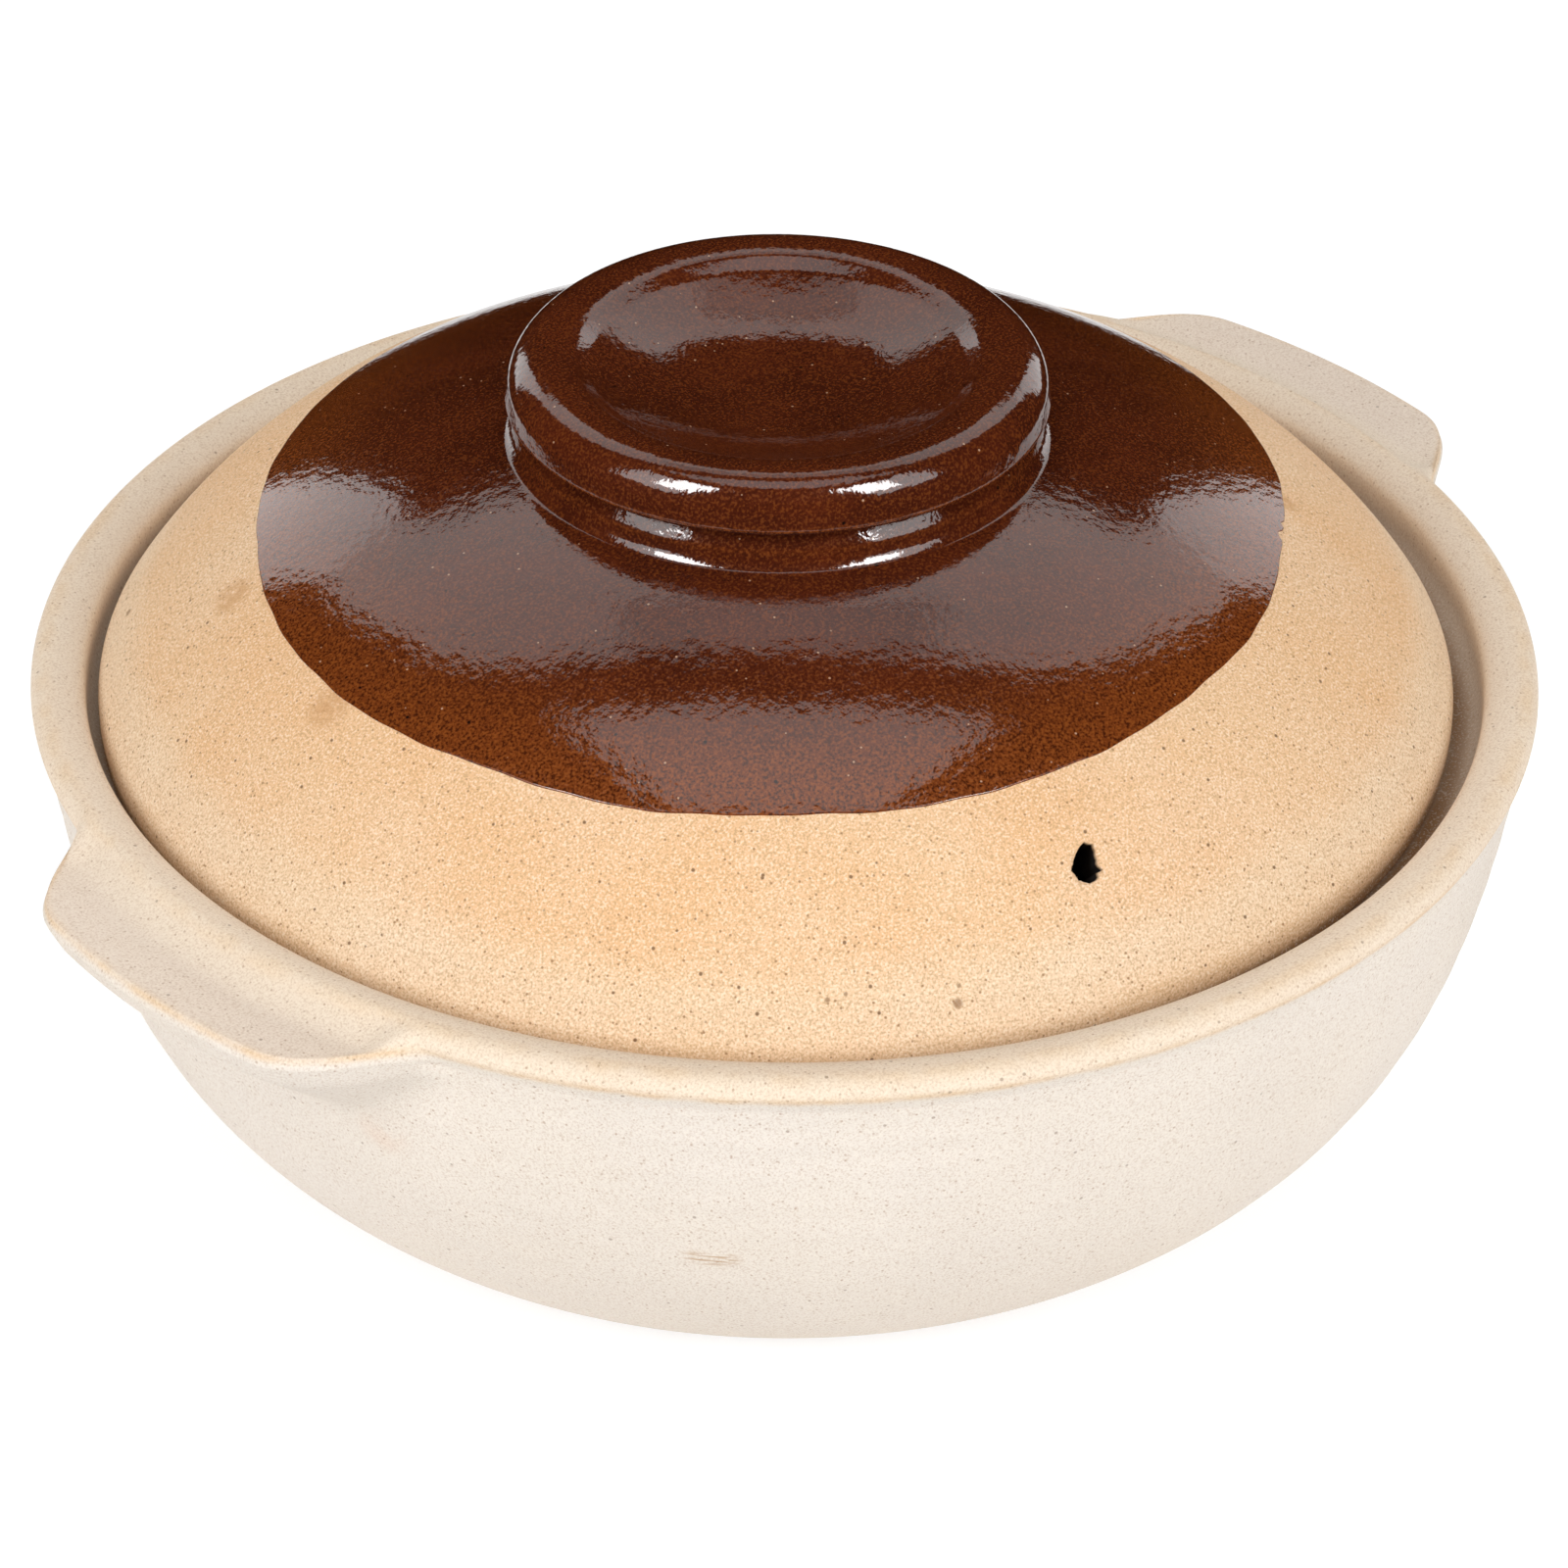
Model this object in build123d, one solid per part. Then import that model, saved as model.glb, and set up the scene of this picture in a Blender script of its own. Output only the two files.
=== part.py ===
from build123d import *
import math
import os

# A wide clay cooking pot with a lug at each side and a loose domed lid. The lid lies on a ledge in
# the gallery inside the rim and lifts straight off by its dished knob.
# Millimetres and degrees. The origin is the centre of the base, +Z is up and the lugs lie along X.

# Rim and gallery
RIM_RADIUS = 110.0  # worn outer edge of the rim
POT_HEIGHT = 67.9  # table to the ridge that runs round the rim
RIM_RIDGE_INSET = 2.5  # from the outer edge in to the ridge
RIM_EDGE_DROP = 2.4  # from the ridge down to the outer edge
RIM_CREST_DROP = 2.0  # from the ridge down to the inner crest
RIM_UNDERCUT = 1.4  # the wall starts this far in from the outer edge
RIM_UNDERCUT_DROP = 3.3  # and this far below it
RIM_WIDTH = 8.0  # from the outer edge in to the wall of the gallery
GALLERY_DEPTH = 6.9  # from the inner crest down to the ledge
LEDGE_WIDTH = 11.0  # from the wall of the gallery in to the mouth
LEDGE_LIP = 4.0  # thickness of the ledge at the mouth
LEDGE_LIP_ROUND = 1.5
LEDGE_UNDERSIDE = 45.0  # slope under the ledge

# Bowl
FOOT_RADIUS = 79.2
FOOT_EDGE_WIDTH = 1.2  # worn edge between foot and wall
FOOT_EDGE_HEIGHT = 0.6
FOOT_RING_WIDTH = 11.0  # flat ring that the pot stands on
FOOT_RECESS = 1.2  # the base is dished this deep inside the ring
WALL = 8.0
FLOOR = 8.0  # table to the inside of the floor
FLOOR_MARGIN = 14.0  # the flat floor ends this far inside the foot
WALL_LEAN = 7.4  # from the vertical, at the rim
FOOT_SLOPE = 36.5  # from the horizontal, at the foot
WALL_UPPER_PULL = 31.8  # how far the wall's curve holds its lean
WALL_LOWER_PULL = 24.4  # how far it holds the slope of the foot
FLOOR_PULL = 30.0  # how far the inside holds the level of the floor

# Lugs
LUG_REACH = 12.6  # beyond the rim's outer edge
LUG_TIP_HALF_ANGLE = 9.5  # seen from above, about the pot's axis
LUG_ROOT_HALF_ANGLE = 20.0
LUG_ROOT_INSET = 2.0  # the ends run in past the rim's edge
LUG_END_PULL = 9.0  # roundness of the ends
LUG_LIP_ROLL = 0.7  # the top edge rolls back by this much
LUG_LIP_ROLL_DROP = 1.7
LUG_LIP_HEIGHT = 5.5
LUG_LIP_UNDERCUT = 1.8
LUG_DEPTH = 21.5  # below the rim's edge, where the underside has run into the wall
LUG_FADE = 20.0  # how far the underside draws in by then
VALLEY_OFFSET = 3.0  # hollow between rim and lug, outside the rim's edge
VALLEY_ROUND = 9.0
VALLEY_DEPTH = 0.8

# Lid
LID_CLEARANCE = 3.0  # play round the lid in the gallery
LID_SHIFT = 1.3  # the loose lid lies this far off the pot's axis
LID_SHIFT_AZIMUTH = 135.0
LID_EDGE_HEIGHT = 3.9  # widest line of the lid above the ledge
LID_EDGE_ROUND = 6.0
LID_FOOT_ROUND = 2.0  # lower edge, beside the seat
LID_SHOULDER_ROUND = 73.5
LID_EDGE_SLOPE = 57.0  # where edge and shoulder meet
LID_SHOULDER_SLOPE = 33.0  # where shoulder and crown meet
CROWN_FLAT = 20.5  # radius of the level middle, under the knob
LID_WALL = 6.5
VENT_INSET = 12.5  # from the lid's edge in to the steam vent
VENT_AZIMUTH = 254.1
VENT_WIDTH = 4.6
VENT_TIP = 4.4  # pointed end of the vent above its centre

# Knob
KNOB_RADIUS = 39.0
KNOB_HEIGHT = 12.8  # above the crown where it stands
KNOB_CREST_INSET = 4.2  # from the widest line in to the crest
KNOB_SHOULDER_DROP = 4.3  # from the crest down to the widest line
KNOB_ROLL_INSET = 0.25  # lower edge of the roll, in from the widest line
KNOB_ROLL_HEIGHT = 6.3  # above the crown
KNOB_NECK_INSET = 3.5  # the roll overhangs the neck by about this much
KNOB_NECK_HEIGHT = 4.8
KNOB_RIDGE_INSET = 1.4  # sharp line below the neck's flare
KNOB_RIDGE_HEIGHT = 2.6
KNOB_HOLLOW_DEPTH = 0.4  # tooled hollow between that line and the foot
DISH_LIP_INSET = 9.9  # from the widest line in to the lip of the dish
DISH_DEPTH = 8.0  # below the crest
DISH_LIP_DROP = 1.0

# Glaze
GLAZE = 0.5  # thickness of each coat
BARE_BAND = 23.5  # clay left bare between the lid's edge and its coat

EDGE_Z = POT_HEIGHT - RIM_EDGE_DROP
CREST_Z = POT_HEIGHT - RIM_CREST_DROP
LEDGE_Z = CREST_Z - GALLERY_DEPTH
WALL_TOP = Vector(RIM_RADIUS - RIM_UNDERCUT, 0, EDGE_Z - RIM_UNDERCUT_DROP)
FOOT = Vector(FOOT_RADIUS, 0, FOOT_EDGE_HEIGHT)
GALLERY_RADIUS = RIM_RADIUS - RIM_WIDTH
MOUTH_RADIUS = GALLERY_RADIUS - LEDGE_WIDTH
LID_RADIUS = GALLERY_RADIUS - LID_CLEARANCE
VENT_REACH = LID_RADIUS - VENT_INSET
GLAZE_LINE_RADIUS = LID_RADIUS - BARE_BAND

OUTWARD = Vector(1, 0, 0)
INWARD = Vector(-1, 0, 0)
DOWN = Vector(0, 0, -1)


def at(radius, height):
    """Point of a turned profile, which is drawn in the XZ plane."""
    return Vector(radius, 0, height)


def heading(degrees):
    """Unit direction in the XZ plane, measured up from +X."""
    return Vector(math.cos(math.radians(degrees)), 0, math.sin(math.radians(degrees)))


def turned(*edges):
    """Solid turned about the pot's axis from the closed profile that the edges make."""
    return revolve(make_face(edges), Axis.Z)


def arc(centre, radius, first, last):
    """Arc of a profile between two headings from its centre."""
    middle = (first + last) / 2
    return ThreePointArc(*(centre + heading(angle) * radius for angle in (first, middle, last)))


# Bowl


def outer_form():
    """The pot with its foot, wall and rim, filled solid up to the inner crest."""
    ring_start = at(FOOT_RADIUS - FOOT_RING_WIDTH, 0)
    ring_end = at(FOOT_RADIUS - FOOT_EDGE_WIDTH, 0)
    edge = at(RIM_RADIUS, EDGE_Z)
    ridge = at(RIM_RADIUS - RIM_RIDGE_INSET, POT_HEIGHT)
    crest = at(GALLERY_RADIUS, CREST_Z)
    wall_upper = WALL_TOP - heading(90 - WALL_LEAN) * WALL_UPPER_PULL
    wall_lower = FOOT + heading(FOOT_SLOPE) * WALL_LOWER_PULL
    return turned(
        TangentArc(at(0, FOOT_RECESS), ring_start, tangent=OUTWARD),
        Line(ring_start, ring_end),
        Line(ring_end, FOOT),
        Bezier(FOOT, wall_lower, wall_upper, WALL_TOP),
        Line(WALL_TOP, edge),
        TangentArc(ridge, edge, tangent=OUTWARD),
        TangentArc(ridge, crest, tangent=INWARD),
        Line(crest, at(0, CREST_Z)),
        Line(at(0, CREST_Z), at(0, FOOT_RECESS)),
    )


def hollow_form(coat):
    """The space inside the wall, made smaller by a coat on wall and floor."""
    floor_z = FLOOR + coat
    floor_end = at(FOOT_RADIUS - FLOOR_MARGIN, floor_z)
    top = WALL_TOP - heading(-WALL_LEAN) * (WALL + coat)
    wall_upper = top - heading(90 - WALL_LEAN) * WALL_UPPER_PULL
    return turned(
        Line(at(0, floor_z), floor_end),
        Bezier(floor_end, floor_end + OUTWARD * FLOOR_PULL, wall_upper, top),
        Line(top, at(0, top.Z)),
        Line(at(0, top.Z), at(0, floor_z)),
    )


def ledge_ring():
    """Ring inside the wall that carries the lid, with a sloping underside and a rounded lip."""
    root = WALL_TOP.X - WALL / 2
    width = root - MOUTH_RADIUS
    lip_z = LEDGE_Z - LEDGE_LIP
    root_z = lip_z - width * math.tan(math.radians(LEDGE_UNDERSIDE))
    lip_inner = MOUTH_RADIUS + LEDGE_LIP_ROUND
    return turned(
        Line(at(root, LEDGE_Z), at(lip_inner, LEDGE_Z)),
        TangentArc(at(lip_inner, LEDGE_Z), at(MOUTH_RADIUS, LEDGE_Z - LEDGE_LIP_ROUND), tangent=INWARD),
        Line(at(MOUTH_RADIUS, LEDGE_Z - LEDGE_LIP_ROUND), at(MOUTH_RADIUS, lip_z)),
        Line(at(MOUTH_RADIUS, lip_z), at(root, root_z)),
        Line(at(root, root_z), at(root, LEDGE_Z)),
    )


def gallery_space():
    """Round space above the ledge that the lid drops into."""
    base = Align.CENTER, Align.CENTER, Align.MIN
    return Pos(0, 0, LEDGE_Z) * Cylinder(GALLERY_RADIUS, POT_HEIGHT, align=base)


def pot_bowl():
    return outer_form() - hollow_form(0) + ledge_ring() - gallery_space()


def pot_inner_glaze():
    """Coat on the floor and wall, which ends under the ledge."""
    return hollow_form(0) - hollow_form(GLAZE) - ledge_ring() - gallery_space()


# Lugs


def lug_outline(reach, height):
    """Plan of the lug at one height: a tip arc about the pot's axis and two S-shaped ends."""
    root_radius = reach - LUG_REACH - LUG_ROOT_INSET

    def polar(radius, degrees):
        return Vector(radius, 0, height).rotate(Axis.Z, degrees)

    def end(side):
        tip = polar(reach, side * LUG_TIP_HALF_ANGLE)
        root = polar(root_radius, side * LUG_ROOT_HALF_ANGLE)
        along_tip = Vector(0, side * LUG_END_PULL, 0).rotate(Axis.Z, side * LUG_TIP_HALF_ANGLE)
        along_root = Vector(0, side * LUG_END_PULL, 0).rotate(Axis.Z, side * LUG_ROOT_HALF_ANGLE)
        return Bezier(tip, tip + along_tip, root - along_root, root)

    left, right = end(1), end(-1)
    tip_arc = ThreePointArc(right @ 0, polar(reach, 0), left @ 0)
    return make_face([left, tip_arc, right, Line(right @ 1, left @ 1)])


def lug_handle(azimuth):
    """Wedge of clay that grows out of the rim, with a hollow along the rim to rest the thumb in."""
    tip = RIM_RADIUS + LUG_REACH
    lug = loft(
        [
            lug_outline(tip - LUG_LIP_ROLL, EDGE_Z),
            lug_outline(tip, EDGE_Z - LUG_LIP_ROLL_DROP),
            lug_outline(tip - LUG_LIP_UNDERCUT, EDGE_Z - LUG_LIP_HEIGHT),
            lug_outline(tip - LUG_FADE, EDGE_Z - LUG_DEPTH),
        ],
        ruled=True,
    )
    valley = Pos(0, 0, EDGE_Z + VALLEY_ROUND - VALLEY_DEPTH) * Torus(RIM_RADIUS + VALLEY_OFFSET, VALLEY_ROUND)
    return Rot(0, 0, azimuth) * (lug - valley - outer_form())


# Lid. Edge, shoulder and crown are arcs that run into each other, found from the edge inwards.

EDGE_HEADING = 90 - LID_EDGE_SLOPE
SHOULDER_HEADING = 90 - LID_SHOULDER_SLOPE
EDGE_CENTRE = at(LID_RADIUS - LID_EDGE_ROUND, LEDGE_Z + LID_EDGE_HEIGHT)
SHOULDER_CENTRE = EDGE_CENTRE + heading(EDGE_HEADING) * (LID_EDGE_ROUND - LID_SHOULDER_ROUND)
CROWN_ROUND = LID_SHOULDER_ROUND + (SHOULDER_CENTRE.X - CROWN_FLAT) / heading(SHOULDER_HEADING).X
CROWN_CENTRE = SHOULDER_CENTRE + heading(SHOULDER_HEADING) * (LID_SHOULDER_ROUND - CROWN_ROUND)


def crown_heading(radius, coat):
    """Heading from the crown's centre to the point of its surface, or of a coat, at a radius."""
    return math.degrees(math.acos((radius - CROWN_FLAT) / (CROWN_ROUND + coat)))


def crown_point(radius, coat):
    return CROWN_CENTRE + heading(crown_heading(radius, coat)) * (CROWN_ROUND + coat)


def lid_dome():
    outer_top = CROWN_CENTRE.Z + CROWN_ROUND
    inner_top = outer_top - LID_WALL
    side_top = at(LID_RADIUS, EDGE_CENTRE.Z)
    side_foot = at(LID_RADIUS, LEDGE_Z + LID_FOOT_ROUND)
    seat_outer = at(LID_RADIUS - LID_FOOT_ROUND, LEDGE_Z)
    inner_edge = SHOULDER_CENTRE + heading(EDGE_HEADING) * (LID_SHOULDER_ROUND - LID_WALL)
    seat_inner = at(inner_edge.X, LEDGE_Z)
    dome = turned(
        Line(at(0, outer_top), at(CROWN_FLAT, outer_top)),
        arc(CROWN_CENTRE, CROWN_ROUND, 90, SHOULDER_HEADING),
        arc(SHOULDER_CENTRE, LID_SHOULDER_ROUND, SHOULDER_HEADING, EDGE_HEADING),
        arc(EDGE_CENTRE, LID_EDGE_ROUND, EDGE_HEADING, 0),
        Line(side_top, side_foot),
        TangentArc(side_foot, seat_outer, tangent=DOWN),
        Line(seat_outer, seat_inner),
        Line(seat_inner, inner_edge),
        arc(SHOULDER_CENTRE, LID_SHOULDER_ROUND - LID_WALL, EDGE_HEADING, SHOULDER_HEADING),
        arc(CROWN_CENTRE, CROWN_ROUND - LID_WALL, SHOULDER_HEADING, 90),
        Line(at(CROWN_FLAT, inner_top), at(0, inner_top)),
        Line(at(0, inner_top), at(0, outer_top)),
    )
    return dome - vent()


def vent():
    """Teardrop hole pushed square through the shoulder, with its point towards the knob."""
    bore = VENT_WIDTH / 2
    slope = math.degrees(math.acos((VENT_REACH - SHOULDER_CENTRE.X) / LID_SHOULDER_ROUND))
    centre = SHOULDER_CENTRE + heading(slope) * LID_SHOULDER_ROUND
    surface = Plane(origin=centre, x_dir=(0, 1, 0), z_dir=heading(slope))
    tangent = math.asin(bore / VENT_TIP)
    touch = bore * math.cos(tangent), bore * math.sin(tangent)
    point = make_face(Polyline((touch[0], touch[1]), (0, VENT_TIP), (-touch[0], touch[1]), close=True))
    hole = extrude(surface * (Circle(bore) + point), LID_WALL, both=True)
    return Rot(0, 0, VENT_AZIMUTH) * hole


# Knob and the lid's glaze. The same turned outline, drawn in by the coat, is the clay below it.


def knob_outline(inset):
    """Edges from the middle of the dish, over the roll and under it to the neck, and down to the foot."""
    foot_z = crown_point(KNOB_RADIUS, GLAZE).Z
    top = foot_z + KNOB_HEIGHT

    def place(radius, height):
        return at(radius - inset, height - inset)

    def place_below(radius, height):
        return at(radius - inset, height + inset / 2)

    middle = at(0, top - DISH_DEPTH - inset)
    lip = place(KNOB_RADIUS - DISH_LIP_INSET, top - DISH_LIP_DROP)
    crest = place(KNOB_RADIUS - KNOB_CREST_INSET, top)
    widest = place(KNOB_RADIUS, top - KNOB_SHOULDER_DROP)
    roll_edge = place_below(KNOB_RADIUS - KNOB_ROLL_INSET, foot_z + KNOB_ROLL_HEIGHT)
    neck = place_below(KNOB_RADIUS - KNOB_NECK_INSET, foot_z + KNOB_NECK_HEIGHT)
    ridge = place(KNOB_RADIUS - KNOB_RIDGE_INSET, foot_z + KNOB_RIDGE_HEIGHT)
    foot = place(KNOB_RADIUS, foot_z)
    hollow = (ridge + foot) / 2 + INWARD * KNOB_HOLLOW_DEPTH
    return [
        TangentArc(middle, lip, tangent=OUTWARD),
        TangentArc(crest, lip, tangent=INWARD),
        TangentArc(crest, widest, tangent=OUTWARD),
        TangentArc(widest, roll_edge, tangent=DOWN),
        Line(roll_edge, neck),
        Line(neck, ridge),
        ThreePointArc(ridge, hollow, foot),
    ]


def under_crown(outline, edge_radius, coat):
    """Solid under an outline that ends on the crown's surface or its coat, closed off inside the lid's wall."""
    depth = CROWN_ROUND - LID_WALL / 2
    rim = heading(crown_heading(edge_radius, coat))
    buried_rim = CROWN_CENTRE + rim * depth
    buried_top = at(CROWN_FLAT, CROWN_CENTRE.Z + depth)
    axis_foot = at(0, buried_top.Z)
    return turned(
        *outline,
        Line(outline[-1] @ 1, buried_rim),
        arc(CROWN_CENTRE, depth, crown_heading(edge_radius, coat), 90),
        Line(buried_top, axis_foot),
        Line(axis_foot, outline[0] @ 0),
    )


def lid_knob():
    return under_crown(knob_outline(GLAZE), KNOB_RADIUS, GLAZE) - lid_dome()


def lid_top_glaze():
    coat_start = crown_heading(KNOB_RADIUS, GLAZE)
    coat_end = crown_heading(GLAZE_LINE_RADIUS, GLAZE)
    coat = arc(CROWN_CENTRE, CROWN_ROUND + GLAZE, coat_start, coat_end)
    outline = knob_outline(0) + [coat]
    return under_crown(outline, GLAZE_LINE_RADIUS, GLAZE) - lid_dome() - lid_knob()


def as_laid(piece):
    """Piece of the lid, moved to where the loose lid lies in the gallery."""
    aside = heading(LID_SHIFT_AZIMUTH) * LID_SHIFT
    return Pos(aside.X, aside.Z, 0) * piece


pieces = {
    "pot_bowl": pot_bowl(),
    "pot_inner_glaze": pot_inner_glaze(),
    "lug_handle_left": lug_handle(180),
    "lug_handle_right": lug_handle(0),
    "lid_dome": as_laid(lid_dome()),
    "lid_knob": as_laid(lid_knob()),
    "lid_top_glaze": as_laid(lid_top_glaze()),
}

os.makedirs("parts", exist_ok=True)
for name, piece in pieces.items():
    export_step(piece, f"parts/{name}.step")
    print(name, round(piece.volume), "mm3")
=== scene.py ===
# %% [markdown]
# # A clay cooking pot with a loose lid
# The pot is turned earthenware: a wide bowl with a lug at each side, and a domed lid that lies loose
# in a gallery inside the rim. The knob and the crown of the lid carry a glossy brown glaze, and the
# rest is bare, sandy clay. This lesson dresses the measured solids of that pot: four meshes stand in
# front of seven solids, each in the same place and size, with the softness of hand work added.

# %% Load the measured solids
import math

import bpy
import numpy as np
from mathutils import Matrix, Vector


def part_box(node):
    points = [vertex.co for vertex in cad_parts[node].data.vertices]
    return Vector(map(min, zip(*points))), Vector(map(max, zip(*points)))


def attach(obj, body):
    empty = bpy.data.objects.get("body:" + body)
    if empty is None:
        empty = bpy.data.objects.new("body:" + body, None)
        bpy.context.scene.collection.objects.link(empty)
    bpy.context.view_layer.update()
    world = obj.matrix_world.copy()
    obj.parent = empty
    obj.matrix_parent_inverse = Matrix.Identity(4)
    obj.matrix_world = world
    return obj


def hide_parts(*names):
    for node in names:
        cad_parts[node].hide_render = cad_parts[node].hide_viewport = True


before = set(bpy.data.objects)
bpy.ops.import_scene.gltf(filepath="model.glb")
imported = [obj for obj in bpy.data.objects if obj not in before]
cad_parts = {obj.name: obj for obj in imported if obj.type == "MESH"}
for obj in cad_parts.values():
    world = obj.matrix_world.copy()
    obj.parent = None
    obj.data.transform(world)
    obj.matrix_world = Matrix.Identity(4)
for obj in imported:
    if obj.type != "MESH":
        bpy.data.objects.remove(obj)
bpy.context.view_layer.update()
MM = 0.001

# %% [markdown]
# ## Sizes
# Anything that the solids can tell is measured on them: the height and width of the rim, the place of
# the lid, the reach of the lugs. It could all be typed in again, but then a change to the solids would
# leave the looks behind. The few sizes below that no box can tell are the potter's own profile sizes,
# in millimetres, as a potter would write them down.

# %% Measure the solids
def box_mm(node):
    """Lowest and highest corner of one solid, in millimetres."""
    low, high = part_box(node)
    return np.array(low) / MM, np.array(high) / MM


_, bowl_high = box_mm("pot_bowl")
dome_low, dome_high = box_mm("lid_dome")
knob_low, knob_high = box_mm("lid_knob")
_, coat_high = box_mm("lid_top_glaze")
_, lug_high = box_mm("lug_handle_right")

RIM_RADIUS = bowl_high[1]
RIDGE_Z = bowl_high[2]
LUG_RADIUS = lug_high[0]
LEDGE_Z = dome_low[2]
LID_RADIUS = (dome_high[0] - dome_low[0]) / 2
LID_AXIS = (dome_low[:2] + dome_high[:2]) / 2
KNOB_RADIUS = (knob_high[0] - knob_low[0]) / 2
TOP_Z = coat_high[2]
print("rim", RIM_RADIUS, "ridge", RIDGE_Z, "lid", LID_RADIUS, "knob", KNOB_RADIUS, "top", TOP_Z)

# %% [markdown]
# ## Camera
# The photograph looks down on the pot, about 34 degrees below level, with a long lens. The angle, the
# lens and the distance come from the ellipses of the rim, the lid and the foot. The camera looks at a
# point on the pot's axis, so no lens shift is needed.

# %% Camera
CAMERA_AZIMUTH = math.radians(-45.0)
CAMERA_ELEVATION = math.radians(33.784)
CAMERA_ROLL = math.radians(0.444)
CAMERA_DISTANCE = 886.3 * MM
CAMERA_LENS = 136.8
LOOK_AT = Vector((0.0, 0.0, 41.9 * MM))


def toward(azimuth, elevation):
    """Unit vector from the pot to a viewer at that azimuth and elevation."""
    level = math.cos(elevation)
    return Vector((math.sin(azimuth) * level, -math.cos(azimuth) * level, math.sin(elevation)))


back = toward(CAMERA_AZIMUTH, CAMERA_ELEVATION)
camera_data = bpy.data.cameras.new("camera")
camera_data.lens = CAMERA_LENS
camera = bpy.data.objects.new("camera", camera_data)
aim = (-back).to_track_quat("-Z", "Y").to_matrix()
camera.matrix_world = Matrix.Translation(LOOK_AT + back * CAMERA_DISTANCE) @ (
    aim @ Matrix.Rotation(CAMERA_ROLL, 3, "Z")
).to_4x4()
bpy.context.scene.collection.objects.link(camera)
bpy.context.scene.camera = camera
print("camera at", tuple(round(value, 4) for value in camera.location))

# %% [markdown]
# ## Drawing profiles
# A turned pot is one outline spun about an axis, so each piece starts as a list of (radius, height)
# points. Blender's Screw modifier could spin a curve, but the lugs and the wavy glaze edge change the
# outline from angle to angle. Arrays can do that: one row for each ring, one column for each angle.

# %% Outline helpers
OUTWARD = np.array((1.0, 0.0))
INWARD = np.array((-1.0, 0.0))
UPWARD = np.array((0.0, 1.0))


def heading(degrees):
    return np.array((math.cos(math.radians(degrees)), math.sin(math.radians(degrees))))


def line(start, end, count):
    return np.linspace(start, end, count)


def arc(centre, radius, first, last, count):
    """Points round a centre between two headings in degrees."""
    turn = np.radians(np.linspace(first, last, count))
    return np.asarray(centre) + radius * np.stack([np.cos(turn), np.sin(turn)], axis=1)


def bend(start, end, leaving, count):
    """Points of the arc that leaves start in one direction and ends at end."""
    start, end = np.asarray(start, float), np.asarray(end, float)
    chord = end - start
    turn = 2 * math.atan2(leaving[0] * chord[1] - leaving[1] * chord[0], leaving @ chord)
    steps = np.linspace(0, 1, count)[:, None]
    angle = turn * steps / 2
    length = np.hypot(*chord) * np.sin(angle) / math.sin(turn / 2)
    return start + length * (leaving * np.cos(angle) + np.array((-leaving[1], leaving[0])) * np.sin(angle))


def curve(start, first_pull, second_pull, end, count):
    """Points of a Bezier curve."""
    t = np.linspace(0, 1, count)[:, None]
    pulls = np.outer(3 * (1 - t) ** 2 * t, first_pull) + np.outer(3 * (1 - t) * t**2, second_pull)
    return np.outer((1 - t) ** 3, start) + pulls + np.outer(t**3, end)


def join(*stretches):
    """One outline from stretches that meet end to end."""
    return np.concatenate([stretches[0]] + [stretch[1:] for stretch in stretches[1:]])


def soften(outline, step, spread):
    """Evenly spaced points with every corner rounded, as a wet sponge or melting glaze rounds it."""
    along = np.concatenate([[0], np.cumsum(np.hypot(*np.diff(outline, axis=0).T))])
    stops = np.linspace(0, along[-1], round(along[-1] / step) + 1)
    even = np.stack([np.interp(stops, along, outline[:, axis]) for axis in (0, 1)], axis=1)
    width = math.ceil(3 * spread / step)
    weights = np.exp(-0.5 * (np.arange(-width, width + 1) * step / spread) ** 2)
    weights /= weights.sum()
    before = 2 * even[0] - even[width:0:-1]
    after = 2 * even[-1] - even[-2 : -width - 2 : -1]
    padded = np.concatenate([before, even, after])
    return np.stack([np.convolve(padded[:, axis], weights, "valid") for axis in (0, 1)], axis=1)


def smoothstep(value, low, high):
    share = np.clip((value - low) / (high - low), 0, 1)
    return share * share * (3 - 2 * share)


def bell(distance, width):
    return np.exp(-((distance / width) ** 2))


def apart(degrees, middle):
    """Angles from a middle, the short way round, in degrees."""
    return (degrees - middle + 180) % 360 - 180


def waves(angles, settings):
    """Sum of waves round a full turn, each with its count, its depth and its start."""
    return sum(depth * np.sin(count * angles + start) for count, depth, start in settings)


print("quarter bend:", bend((1, 0), (0, 1), UPWARD, 3).round(3).tolist())

# %% [markdown]
# ## Rings to a mesh
# The rings run from a point on the axis, up the outside, and back to the axis on the inside, so every
# piece comes out closed, with its faces turned outwards. Marks such as wear are kept on the points as
# named attributes, where a material can read them.

# %% Mesh helpers
def ring_faces(rings, columns):
    """Quads between rings, and a fan of triangles to the axis point at each end."""
    ring = np.arange(rings - 1)[:, None] * columns
    column = np.arange(columns)[None, :]
    following = (column + 1) % columns
    corners = (ring + column, ring + following, ring + columns + following, ring + columns + column)
    quads = np.stack(corners, axis=-1).reshape(-1, 4).tolist()
    last = (rings - 1) * columns
    first_axis, last_axis = rings * columns, rings * columns + 1
    pairs = list(zip(column[0].tolist(), following[0].tolist()))
    fans = [[first_axis, after, at] for at, after in pairs]
    fans += [[last + at, last + after, last_axis] for at, after in pairs]
    return quads, fans


def all_round(outline, columns):
    """Radius and height of each ring at each angle, for an outline that is the same all round."""
    return [np.repeat(outline[:, axis : axis + 1], columns, axis=1) for axis in (0, 1)]


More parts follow.
